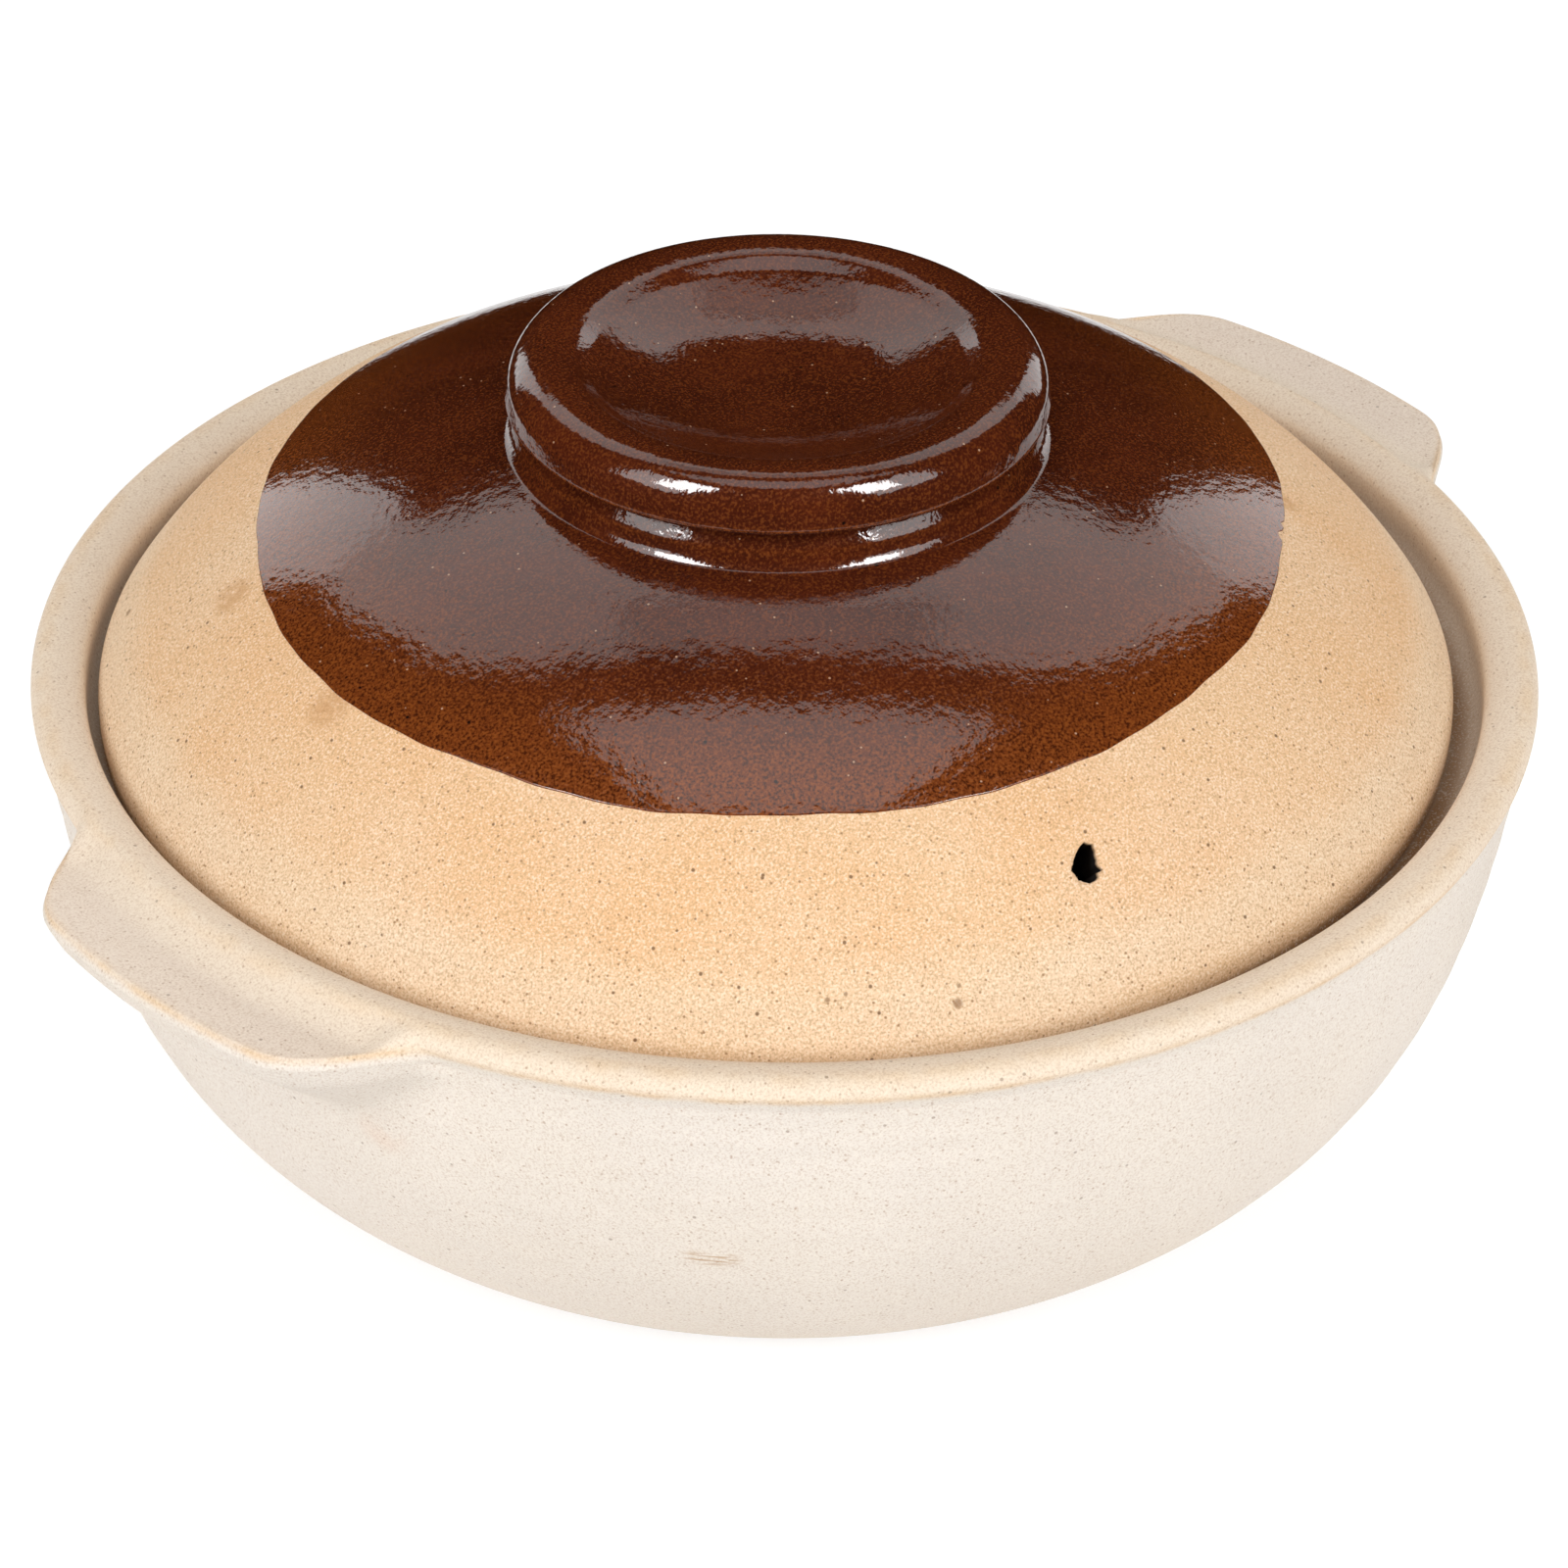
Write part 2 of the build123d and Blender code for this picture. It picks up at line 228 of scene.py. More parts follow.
def ring_points(radius, height, angles, axis=(0.0, 0.0)):
    """Points of all rings, in millimetres, then the two points on the axis."""
    radius, height = np.broadcast_arrays(radius, height)
    x = axis[0] + radius * np.cos(angles)
    y = axis[1] + radius * np.sin(angles)
    rings = np.stack([x, y, height], axis=-1).reshape(-1, 3)
    ends = [(axis[0], axis[1], height[0].mean()), (axis[0], axis[1], height[-1].mean())]
    return np.concatenate([rings, ends])


def make_piece(name, points, faces, marks, body, slot, *nodes):
    """Mesh object in metres that stands for some solids and rides on their body."""
    used = np.unique(np.concatenate([np.asarray(face) for face in faces]))
    renumber = np.full(len(points), -1)
    renumber[used] = np.arange(len(used))
    mesh = bpy.data.meshes.new(name)
    mesh.from_pydata((points[used] * MM).tolist(), [], [renumber[face].tolist() for face in faces])
    mesh.shade_smooth()
    for mark, values in marks.items():
        layer = mesh.attributes.new(mark, "FLOAT", "POINT")
        layer.data.foreach_set("value", np.asarray(values, np.float32)[used])
    piece = bpy.data.objects.new(name, mesh)
    bpy.context.scene.collection.objects.link(piece)
    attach(piece, body)
    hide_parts(*nodes)
    print(name, len(mesh.vertices), "points", len(mesh.polygons), "faces")
    return piece


def on_points(values, shape):
    """A mark given for each ring and angle, spread over the points of those rings and both axis points."""
    values = np.broadcast_to(values, shape)
    return np.concatenate([values.ravel(), [values[0].mean(), values[-1].mean()]])


print("faces between two rings of three:", ring_faces(2, 3))

# %% [markdown]
# ## The bowl and its lugs
# The potter throws the bowl, pulls a lug out of the rim at each side and smooths it in with a thumb, so
# bowl and lugs are one skin here. The lug is the rim's own bevel drawn outwards: past the ridge lies a
# shallow valley for the thumb, then a level face with a thin lip that is undercut below. A Boolean
# union could join three solids, but would leave a hard seam. Growing the lug out of the rings, by how
# far the plan of the lug reaches at each angle, gives the run-out that the clay really has.

# %% Plan of the lugs
LUG_TIP_HALF_ANGLE = 9.5
LUG_ROOT_HALF_ANGLE = 23.0
LUG_ROOT_INSET = 2.0
LUG_END_PULL = 11.0
NEAR_LUG = 27.0
FINE_STEP = 0.4
PLAIN_STEP = 1.0


def lug_plan(degrees_from_middle):
    """How far the lug reaches from the axis, at each angle from its middle."""
    tip_turn, root_turn = heading(LUG_TIP_HALF_ANGLE), heading(LUG_ROOT_HALF_ANGLE)
    tip = tip_turn * LUG_RADIUS
    root = root_turn * (RIM_RADIUS - LUG_ROOT_INSET)
    along_tip = np.array((-tip_turn[1], tip_turn[0])) * LUG_END_PULL
    along_root = np.array((-root_turn[1], root_turn[0])) * LUG_END_PULL
    end = curve(tip, tip + along_tip, root - along_root, root, 60)
    turn = np.degrees(np.arctan2(end[:, 1], end[:, 0]))
    return np.interp(np.abs(degrees_from_middle), turn, np.hypot(end[:, 0], end[:, 1]))


half_turn = np.concatenate(
    [
        np.arange(0, NEAR_LUG, FINE_STEP),
        np.arange(NEAR_LUG, 180 - NEAR_LUG, PLAIN_STEP),
        np.arange(180 - NEAR_LUG, 180, FINE_STEP),
    ]
)
pot_degrees = np.concatenate([half_turn, half_turn + 180])
pot_angles = np.radians(pot_degrees)
from_lug = (pot_degrees + 90) % 180 - 90
lug_reach = lug_plan(from_lug)
lug_share = np.clip((lug_reach - RIM_RADIUS) / (LUG_RADIUS - RIM_RADIUS), 0, 1)
print("columns round the pot:", len(pot_degrees), "lug reach:", lug_reach.max())

# %% Outer wall of the bowl
FOOT_RADIUS = 79.2
FOOT_EDGE = np.array((FOOT_RADIUS, 0.6))
FOOT_RING = (FOOT_RADIUS - 11.0, FOOT_RADIUS - 1.2)
FOOT_RECESS = 1.2
EDGE_Z = RIDGE_Z - 2.4
WALL_TOP = np.array((RIM_RADIUS - 1.4, EDGE_Z - 3.3))
WALL_LEAN = 82.6
FOOT_SLOPE = 36.5
WALL_PULLS = (24.4, 31.8)
LUG_FADE_HEIGHTS = (EDGE_Z - 21.5, EDGE_Z - 5.5, EDGE_Z - 1.7, EDGE_Z)
LUG_FADES = (20.0, 1.8, 0.0, 0.7)
LUG_BLEND = 2.4
EDGE_BLEND = 0.6


def smooth_union(wall, lug, blend):
    """The larger of two radii, with a fillet where they are nearly equal."""
    near = np.clip(blend - np.abs(wall - lug), 0, None) / blend
    return np.maximum(wall, lug) + near**2 * blend / 4


def with_lug(outline, blend):
    """Radius of each ring at each angle, with the lug grown out of the wall."""
    radius, height = outline[:, :1], outline[:, 1:]
    fade = np.interp(height, LUG_FADE_HEIGHTS, LUG_FADES)
    lug = np.where(height > LUG_FADE_HEIGHTS[0], lug_reach - fade, 0.0)
    return smooth_union(radius, lug, blend)


base_r = np.linspace(8, FOOT_RING[0] - 1, 8)
base = np.stack([base_r, FOOT_RECESS * (1 - (base_r / FOOT_RING[0]) ** 2)], axis=1)
foot = join(line((FOOT_RING[0], 0), (FOOT_RING[1], 0), 6), line((FOOT_RING[1], 0), FOOT_EDGE, 4))
lower_pull = FOOT_EDGE + heading(FOOT_SLOPE) * WALL_PULLS[0]
upper_pull = WALL_TOP - heading(WALL_LEAN) * WALL_PULLS[1]
wall = curve(FOOT_EDGE, lower_pull, upper_pull, WALL_TOP, 84)
under_edge = line(WALL_TOP, (RIM_RADIUS, EDGE_Z), 9)
print("wall rings:", len(wall), "wall top:", WALL_TOP)

# %% Rim, valley and lug face
RIDGE = np.array((RIM_RADIUS - 2.5, RIDGE_Z))
CREST = np.array((RIM_RADIUS - 8.0, RIDGE_Z - 2.0))
LUG_FACE = ((0.0, 0.0), (2.2, 1.9), (5.4, 3.1), (9.0, 2.6), (14.1, 2.4))  # out from the ridge, and down
LUG_FACE_FULL = 0.55
SPONGE = 0.9

rim_turn = np.linspace(math.pi / 2, 0, 22)[1:, None]
rim_share = np.sin(rim_turn)
edge_radius = with_lug(under_edge[-1:], EDGE_BLEND)
rim_radius = RIDGE[0] + rim_share * (edge_radius - RIDGE[0])
plain_drop = (RIDGE_Z - EDGE_Z) * (1 - np.cos(rim_turn))
lug_face = soften(np.array(LUG_FACE), 0.2, SPONGE)
lug_drop = np.interp(rim_radius - RIDGE[0], lug_face[:, 0], lug_face[:, 1])
rim_height = RIDGE_Z - plain_drop - (lug_drop - plain_drop) * smoothstep(lug_share, 0.0, LUG_FACE_FULL)
print("rim rings:", rim_height.shape, "lug face height:", rim_height[0].min())

# %% Gallery, ledge and inside of the bowl
WALL = 8.0
FLOOR = 8.0
FLOOR_MARGIN = 14.0
FLOOR_PULL = 30.0
FLOOR_MIDDLE = 4.0
MOUTH_RADIUS = CREST[0] - 11.0
LEDGE_LIP = 4.0
LEDGE_LIP_ROUND = 1.5
GALLERY_COVE = 2.8


def inside_wall(coat, count):
    """Inside of the wall from the rim to the edge of the flat floor, under a coat of glaze."""
    floor_end = np.array((FOOT_RADIUS - FLOOR_MARGIN, FLOOR + coat))
    top = WALL_TOP - heading(WALL_LEAN - 90) * (WALL + coat)
    pulls = top - heading(WALL_LEAN) * WALL_PULLS[1], floor_end + OUTWARD * FLOOR_PULL
    return curve(top, *pulls, floor_end, count)


def below_ledge(coat, count):
    """The part of the inside wall that lies under the sloping underside of the ledge."""
    wall_line = inside_wall(coat, 400)
    slope_z = LEDGE_Z - LEDGE_LIP - (wall_line[:, 0] - MOUTH_RADIUS)
    start = np.argmax(wall_line[:, 1] < slope_z)
    return wall_line[np.linspace(start, len(wall_line) - 1, count).round().astype(int)]


inside = below_ledge(0.0, 44)
lip_start = np.array((MOUTH_RADIUS + LEDGE_LIP_ROUND, LEDGE_Z))
lip_end = np.array((MOUTH_RADIUS, LEDGE_Z - LEDGE_LIP_ROUND))
cove_top = np.array((CREST[0], LEDGE_Z + GALLERY_COVE))
cove_foot = np.array((CREST[0] - GALLERY_COVE, LEDGE_Z))
gallery = join(
    bend(RIDGE, CREST, INWARD, 14),
    line(CREST, cove_top, 5),
    bend(cove_top, cove_foot, -UPWARD, 9),
    line(cove_foot, lip_start, 8),
    bend(lip_start, lip_end, INWARD, 7),
    line(lip_end, (MOUTH_RADIUS, LEDGE_Z - LEDGE_LIP), 4),
    line((MOUTH_RADIUS, LEDGE_Z - LEDGE_LIP), inside[0], 8),
)
gallery = soften(gallery, 0.6, SPONGE)
inner = join(gallery, inside, line(inside[-1], (FLOOR_MIDDLE, FLOOR), 10))
print("inner rings:", len(inner), "mouth:", MOUTH_RADIUS)

# %% [markdown]
# ### Hand work
# No thrown wall is a perfect sweep. A rib leaves a faint ring a little below the rim, the wall breathes
# by a fraction of a millimetre, and a thumb has left dimples where the lug was smoothed in. These are
# small moves of the points, so that they show in the shape and in every view.

# %% Hand work on the wall
TOOL_RING_Z = EDGE_Z - 11.0
TOOL_RING_DEPTH = 0.10
TOOL_RING_WIDTH = 0.9
TURNING_DEPTH = 0.05
TURNING_PITCH = 1.1
TURNING_LEAN = 0.6
THUMB_DEPTH = 0.35
THUMB_SIZE = (3.4, 1.5)
THUMB_PLACES = (  # degrees and height
    (199.5, EDGE_Z - 9.5), (-19.5, EDGE_Z - 9.5), (19.0, EDGE_Z - 10.5), (161.0, EDGE_Z - 10.0),
)
SWAY = ((2, 0.10, 0.4), (3, 0.07, 1.9), (5, 0.03, 4.2))

wall_radius = with_lug(wall, LUG_BLEND)
wall_height = np.broadcast_to(wall[:, 1:], wall_radius.shape)
turning = np.sin(wall_height * TURNING_PITCH + TURNING_LEAN * np.sin(pot_angles))
tool_ring = TOOL_RING_DEPTH * bell(wall_height - TOOL_RING_Z, TOOL_RING_WIDTH)
tool_ring = tool_ring + TURNING_DEPTH * turning * smoothstep(wall_height, 2, 20)
thumbs = 0
for thumb_degrees, thumb_z in THUMB_PLACES:
    across = np.radians(apart(pot_degrees, thumb_degrees)) * RIM_RADIUS
    dimple = bell(across, THUMB_SIZE[0]) * bell(wall_height - thumb_z, THUMB_SIZE[1])
    thumbs = thumbs + THUMB_DEPTH * dimple
sway = waves(pot_angles, SWAY)
wall_radius = wall_radius - tool_ring * (1 - lug_share) - thumbs
wall_radius = wall_radius + sway * smoothstep(wall_height, 0, 40)
print("deepest dimple:", thumbs.max(), "widest sway:", sway.max())

# %% Rings of the pot body
columns = len(pot_angles)
foot_radius, foot_height = all_round(join(base, foot)[:-1], columns)
edge_height = all_round(under_edge[1:], columns)[1]
inner_radius, inner_height = all_round(inner[1:], columns)
pot_radius = np.concatenate(
    [
        foot_radius,
        wall_radius,
        with_lug(under_edge, EDGE_BLEND)[1:] + sway,
        rim_radius[1:] + sway * rim_share[1:],
        inner_radius,
    ]
)
pot_height = np.concatenate([foot_height, wall_height, edge_height, rim_height[1:], inner_height])
shape = pot_radius.shape
print("rings and columns of the pot:", shape)

# %% Marks of use, painted shade in the gallery, and the pot body
EDGE_WEAR = (0.9, 0.6)  # share and width
RIDGE_WEAR = (0.5, 1.4)
FOOT_WEAR = (1.0, 1.6)
CREST_WEAR = (0.2, 0.9)
SHADE_EASED_BY_WALL = 0.65


def wear(radius, height, share, width):
    """Wear along a sharp edge that runs round the pot, by how near each point is to it."""
    return share * bell(np.hypot(pot_radius - radius, pot_height - height), width)


worn = wear(edge_radius + sway, EDGE_Z - 0.6, *EDGE_WEAR) + wear(RIDGE[0] + 0.6, RIDGE_Z - 0.2, *RIDGE_WEAR)
worn = worn + wear(FOOT_RADIUS, 0.5, *FOOT_WEAR) + wear(*CREST, *CREST_WEAR)
# Painted shade: the corner mark darkens the gallery deep down and past the lid's edge, less so up the wall,
# where the gap between lid and rim lies in shade.
in_gallery = (pot_radius < CREST[0] + 0.5) & (pot_height > LEDGE_Z - 0.6)
deep = smoothstep(CREST[1] - pot_height, 1.2, CREST[1] - LEDGE_Z)
past_lid = smoothstep(pot_radius, LID_RADIUS - 4, LID_RADIUS - 1)
by_wall = smoothstep(pot_radius, LID_RADIUS - 0.5, CREST[0])
corner = deep * past_lid * (1 - SHADE_EASED_BY_WALL * by_wall) * in_gallery
edge_ring = len(base) + len(foot) + len(wall) + len(under_edge) - 5
rim_mark = smoothstep(np.arange(len(pot_radius))[:, None] - edge_ring, -2, 1)
lug_mark = rim_mark * smoothstep(pot_radius, RIM_RADIUS + 0.5, RIM_RADIUS + 5) * lug_share
pot_quads, pot_fans = ring_faces(*shape)
pot_body = make_piece(
    "pot_body",
    ring_points(pot_radius, pot_height, pot_angles),
    pot_quads + pot_fans,
    {
        "worn": on_points(worn, shape),
        "rim": on_points(rim_mark, shape),
        "lug": on_points(lug_mark, shape),
        "corner": on_points(corner, shape),
    },
    "pot",
    "pot_clay",
    "pot_bowl",
    "lug_handle_left",
    "lug_handle_right",
)

# %% [markdown]
# ## The glaze inside the bowl
# A cooking pot is glazed inside so that it can be washed. The coat is half a millimetre of glass on the
# floor and the wall, ending under the ledge. A colour mask on the bowl could fake it, but a thin closed
# skin has a real edge and keeps its own material. Its back is sunk a little into the clay.

# %% Inner glaze
COAT = 0.5
SUNK = 0.25
COLUMNS = 480
even_angles = np.linspace(0, 2 * math.pi, COLUMNS, endpoint=False)

coat_front = below_ledge(COAT, 60)
coat_back = below_ledge(-SUNK, 40)
skin = join(
    line((FLOOR_MIDDLE, FLOOR - SUNK), coat_back[-1], 10),
    coat_back[::-1],
    line(coat_back[0], coat_front[0], 4),
    coat_front,
    line(coat_front[-1], (FLOOR_MIDDLE, FLOOR + COAT), 10),
)
shape = (len(skin), COLUMNS)
skin_quads, skin_fans = ring_faces(*shape)
inner_glaze = make_piece(
    "inner_glaze",
    ring_points(*all_round(skin, COLUMNS), even_angles),
    skin_quads + skin_fans,
    {"thin": on_points(0.0, shape)},
    "pot",
    "brown_glaze",
    "pot_inner_glaze",
)

# %% [markdown]
# ## The lid
# The lid is a dome of three arcs that run into each other: edge, shoulder and crown. It is the same
# thickness all over and stands on a flat ring. The steam vent was pushed through the shoulder while the
# clay was leather hard, which left a ragged drop shape. A Boolean would cut it, but the long thin faces
# that it leaves shade badly, so a small block of faces is left out on both sides of the wall, and rings
# of new faces lead from the block to the torn edge and on through the wall.

# %% Dome outline
LID_EDGE_HEIGHT = 3.9
LID_EDGE_ROUND = 6.0
LID_FOOT_ROUND = 2.0
LID_SHOULDER_ROUND = 73.5
LID_EDGE_HEADING = 33.0
LID_SHOULDER_HEADING = 57.0
CROWN_FLAT = 20.5
LID_WALL = 6.5
EDGE_CENTRE = np.array((LID_RADIUS - LID_EDGE_ROUND, LEDGE_Z + LID_EDGE_HEIGHT))
SHOULDER_CENTRE = EDGE_CENTRE + heading(LID_EDGE_HEADING) * (LID_EDGE_ROUND - LID_SHOULDER_ROUND)
CROWN_ROUND = LID_SHOULDER_ROUND + (SHOULDER_CENTRE[0] - CROWN_FLAT) / heading(LID_SHOULDER_HEADING)[0]
CROWN_CENTRE = SHOULDER_CENTRE + heading(LID_SHOULDER_HEADING) * (LID_SHOULDER_ROUND - CROWN_ROUND)
SHOULDER_RADIUS = (SHOULDER_CENTRE + heading(LID_SHOULDER_HEADING) * LID_SHOULDER_ROUND)[0]


def dome_point(radius, rise):
    """Radius and height of a point that lies above (or below) the dome's skin at a radius of the skin."""
    radius = np.asarray(radius, float)
    on_shoulder = radius > SHOULDER_RADIUS
    middle_r = np.where(on_shoulder, SHOULDER_CENTRE[0], np.minimum(CROWN_CENTRE[0], radius))
    middle_z = np.where(on_shoulder, SHOULDER_CENTRE[1], CROWN_CENTRE[1])
    round_r = np.where(on_shoulder, LID_SHOULDER_ROUND, CROWN_ROUND)
    level = (radius - middle_r) / round_r
    steep = np.sqrt(1 - level**2)
    return middle_r + level * (round_r + rise), middle_z + steep * (round_r + rise)


shoulder_end = SHOULDER_CENTRE[0] + heading(LID_EDGE_HEADING)[0] * LID_SHOULDER_ROUND
crown_stops = np.concatenate([[2, 6, 11, 16], np.arange(CROWN_FLAT, SHOULDER_RADIUS - 0.5, 2.4)])
shoulder_stops = np.linspace(SHOULDER_RADIUS, shoulder_end, 34)
stops = np.concatenate([crown_stops, shoulder_stops])
under_side = np.stack(dome_point(stops, -LID_WALL), axis=1)
upper_side = np.stack(dome_point(stops, 0.0), axis=1)[::-1]
seat_inner = np.array((under_side[-1, 0], LEDGE_Z))
seat_outer = np.array((LID_RADIUS - LID_FOOT_ROUND, LEDGE_Z))
side_foot = np.array((LID_RADIUS, LEDGE_Z + LID_FOOT_ROUND))
lid_edge = join(
    line(under_side[-1], seat_inner, 6),
    line(seat_inner, seat_outer, 10),
    bend(seat_outer, side_foot, OUTWARD, 8),
    line(side_foot, (LID_RADIUS, EDGE_CENTRE[1]), 4),
    arc(EDGE_CENTRE, LID_EDGE_ROUND, 0, LID_EDGE_HEADING, 12),
)
lid_outline = join(under_side, lid_edge, upper_side)
lid_top_ring = len(lid_outline) - 1
print("lid rings:", len(lid_outline), "crown height:", dome_point(0, 0)[1])

# %% Steam vent
VENT_RADIUS = 86.4
VENT_DEGREES = 254.2
VENT_BLOCK = 4.6
VENT_OUTLINE = (
    (2.04, 2.66), (1.15, 2.45), (0.86, 3.15), (-0.8, 2.0), (-1.75, 0.9), (-2.55, -0.3), (-2.06, -1.85),
    (-0.67, -2.75), (0.3, -2.6), (1.1, -2.25), (1.2, -1.7), (2.1, -1.5), (1.58, -0.75), (1.75, 0.3),
    (2.0, 1.2),
)
TORN_WAVES = ((23, 0.05, 1.0), (41, 0.04, 0.0))
NEARLY_ZERO = 1e-9
vent_lean = (VENT_RADIUS - SHOULDER_CENTRE[0]) / LID_SHOULDER_ROUND
along_slope = math.sqrt(1 - vent_lean**2)


def torn_edge(turn):
    """Distance from the vent's middle to its outline in each direction."""
    corners = np.array(VENT_OUTLINE)
    corners = corners[np.argsort(np.arctan2(corners[:, 1], corners[:, 0]))]
    fine = np.linspace(-math.pi, math.pi, 721)
    facing_x, facing_y = np.cos(fine), np.sin(fine)
    edge = np.zeros(len(fine))
    for start, end in zip(corners, np.roll(corners, -1, axis=0)):
        side = end - start
        cross = facing_x * side[1] - facing_y * side[0]
        cross = np.where(np.abs(cross) < NEARLY_ZERO, NEARLY_ZERO, cross)
        reach = (start[0] * side[1] - start[1] * side[0]) / cross
        share = (start[0] * facing_y - start[1] * facing_x) / cross
        hit = (reach > 0) & (share >= 0) & (share <= 1)
        edge = np.where(hit, np.maximum(edge, reach), edge)
    return np.interp(turn, fine, edge + waves(fine, TORN_WAVES))


print("vent width:", torn_edge(np.array([0.0, math.pi])).sum(), "slope share:", along_slope)

# %% Leave out the faces round the vent
stop_low = np.argmax(stops > VENT_RADIUS - VENT_BLOCK * along_slope)
stop_high = np.argmax(stops > VENT_RADIUS + VENT_BLOCK * along_slope)
column_step = 360 / COLUMNS
column_reach = round(math.degrees(VENT_BLOCK / VENT_RADIUS) / column_step)
vent_column = round(VENT_DEGREES / column_step)
column_low, column_high = vent_column - column_reach, vent_column + column_reach

lid_radius, lid_height = all_round(lid_outline, COLUMNS)
lid_points = ring_points(lid_radius, lid_height, even_angles, LID_AXIS)
lid_quads, lid_fans = ring_faces(*lid_radius.shape)
lid_quads = np.array(lid_quads).reshape(len(lid_outline) - 1, COLUMNS, 4)
keep = np.ones(lid_quads.shape[:2], bool)
keep[stop_low:stop_high, column_low:column_high] = False
keep[lid_top_ring - stop_high : lid_top_ring - stop_low, column_low:column_high] = False
lid_faces = lid_quads[keep].tolist() + lid_fans
print("faces kept:", len(lid_faces), "left out:", int((~keep).sum()))

# %% Rings through the vent
VENT_STEPS = 4
VENT_LIP_DROP = 0.12
block = [(stop_high, column) for column in range(column_low, column_high)]
block += [(stop, column_high) for stop in range(stop_high, stop_low, -1)]
block += [(stop_low, column) for column in range(column_high, column_low, -1)]
block += [(stop, column_low) for stop in range(stop_low, stop_high)]
block_stops = np.array([stops[stop] for stop, column in block])
block_across = np.radians([column * column_step - VENT_DEGREES for stop, column in block]) * block_stops
block_along = (VENT_RADIUS - block_stops) / along_slope
block_reach = np.hypot(block_across, block_along)
block_turn = np.arctan2(block_along, block_across)
torn_reach = torn_edge(block_turn)


def vent_ring(share, rise):
    """Ring of points between the torn edge (share 0) and the block (share 1), at a depth in the wall."""
    reach = torn_reach + (block_reach - torn_reach) * share
    across, along = reach * np.cos(block_turn), reach * np.sin(block_turn)
    radius = VENT_RADIUS - along * along_slope
    turn = np.radians(VENT_DEGREES) + across / radius
    flat, height = dome_point(radius, rise)
    return np.stack([LID_AXIS[0] + flat * np.cos(turn), LID_AXIS[1] + flat * np.sin(turn), height], axis=1)


def bridge(first, second):
    """Quads from one closed loop of point numbers to the next."""
    return [[a, b, d, c] for a, b, c, d in zip(first, np.roll(first, -1), second, np.roll(second, -1))]


shares = np.linspace(1, 0, VENT_STEPS + 1)[1:]
depths = np.linspace(0, -LID_WALL, 7)
new_rings = [vent_ring(share, 0.0) for share in shares]
new_rings[-1][:, 2] -= VENT_LIP_DROP
new_rings += [vent_ring(0.0, depth) for depth in depths[1:-1]]
new_rings += [vent_ring(share, -LID_WALL) for share in shares[::-1]]
print("rings through the vent:", len(new_rings), "points in each:", len(block))

# %% Assemble the lid shell
vent_loops = [np.array([(lid_top_ring - stop) * COLUMNS + column for stop, column in block])]
first_new = len(lid_points)
for ring in new_rings:
    vent_loops.append(first_new + np.arange(len(ring)))
    first_new += len(ring)
vent_loops.append(np.array([stop * COLUMNS + column for stop, column in block]))
for first, second in zip(vent_loops, vent_loops[1:]):
    lid_faces += bridge(first, second)
vent_mark = np.zeros(first_new)
vent_mark[np.concatenate(vent_loops[VENT_STEPS + 1 : VENT_STEPS + len(depths) + 1])] = 1.0
lid_shell = make_piece(
    "lid_shell",
    np.concatenate([lid_points] + new_rings),
    lid_faces,
    {"vent": vent_mark},
    "lid",
    "lid_clay",
    "lid_dome",
)

# %% [markdown]
# ## Glaze coat and knob
# The knob is a dished disc with a rolled rim that hangs over a neck, and a turned ridge below it. Inside
# the lip the dish drops in a small step. It was luted on and dipped in brown glaze together with the
# crown, so under the glaze no seam shows, and knob and coat are one skin. The lower edge of the coat
# wanders as the dip line does. It is thin there, so it ends in a fine rounded step.

# %% Knob outline
KNOB_HEIGHT = 12.8
KNOB_CREST_INSET = 6.2
ROLL_ROUND = 6.0
ROLL_LEAN = 19.0
ROLL_EDGE = (0.0, 6.0)
NECK = (3.1, 4.3)
TOOL_RIDGE = (1.4, 2.1)
TOOL_HOLLOW = 0.4
DISH_LIP_INSET = 9.9
DISH_DEPTH = 7.1
DISH_STEP = np.array((2.3, 1.4))
DISH_SLOPE = 23.0
DISH_PULLS = (12.0, 10.0)
DISH_LIP_DROP = 0.6
FOOT_REACH = 46.0
CROWN_COAT = 0.12
MELT = 0.22
KNOB_OUTSIDE = KNOB_RADIUS + COAT
FOOT_Z = TOP_Z - KNOB_HEIGHT


def on_knob(inset, above_foot):
    return np.array((KNOB_OUTSIDE - inset, FOOT_Z + above_foot))


around_foot = np.stack(dome_point(np.linspace(FOOT_REACH, KNOB_OUTSIDE, 24), CROWN_COAT), axis=1)
knob_foot = around_foot[-1]
tool_ridge, neck, roll_edge = on_knob(*TOOL_RIDGE), on_knob(*NECK), on_knob(*ROLL_EDGE)
foot_third = (tool_ridge - knob_foot) / 3
hollow_draw = INWARD * TOOL_HOLLOW * 4 / 3
crest = on_knob(KNOB_CREST_INSET, KNOB_HEIGHT)
lip = on_knob(DISH_LIP_INSET, KNOB_HEIGHT - DISH_LIP_DROP)
over_roll = arc(crest - UPWARD * ROLL_ROUND, ROLL_ROUND, ROLL_LEAN, 90, 36)
middle = np.array((0.0, TOP_Z - DISH_DEPTH))
step_foot = lip - DISH_STEP
hollow_pulls = knob_foot + foot_third + hollow_draw, tool_ridge - foot_third + hollow_draw
dish_pulls = step_foot - heading(DISH_SLOPE) * DISH_PULLS[1], middle + OUTWARD * DISH_PULLS[0]
knob_outline = join(
    around_foot,
    curve(knob_foot, *hollow_pulls, tool_ridge, 16),
    line(tool_ridge, neck, 16),
    line(neck, roll_edge, 16),
    line(roll_edge, over_roll[0], 10),
    over_roll,
    bend(crest, lip, INWARD, 16),
    line(lip, step_foot, 10),
    curve(step_foot, *dish_pulls, middle, 60),
)
knob_outline = soften(knob_outline, 0.3, MELT)[:-5]  # the last points lie too near the axis for rings
print("knob rings:", len(knob_outline), "foot height:", FOOT_Z)

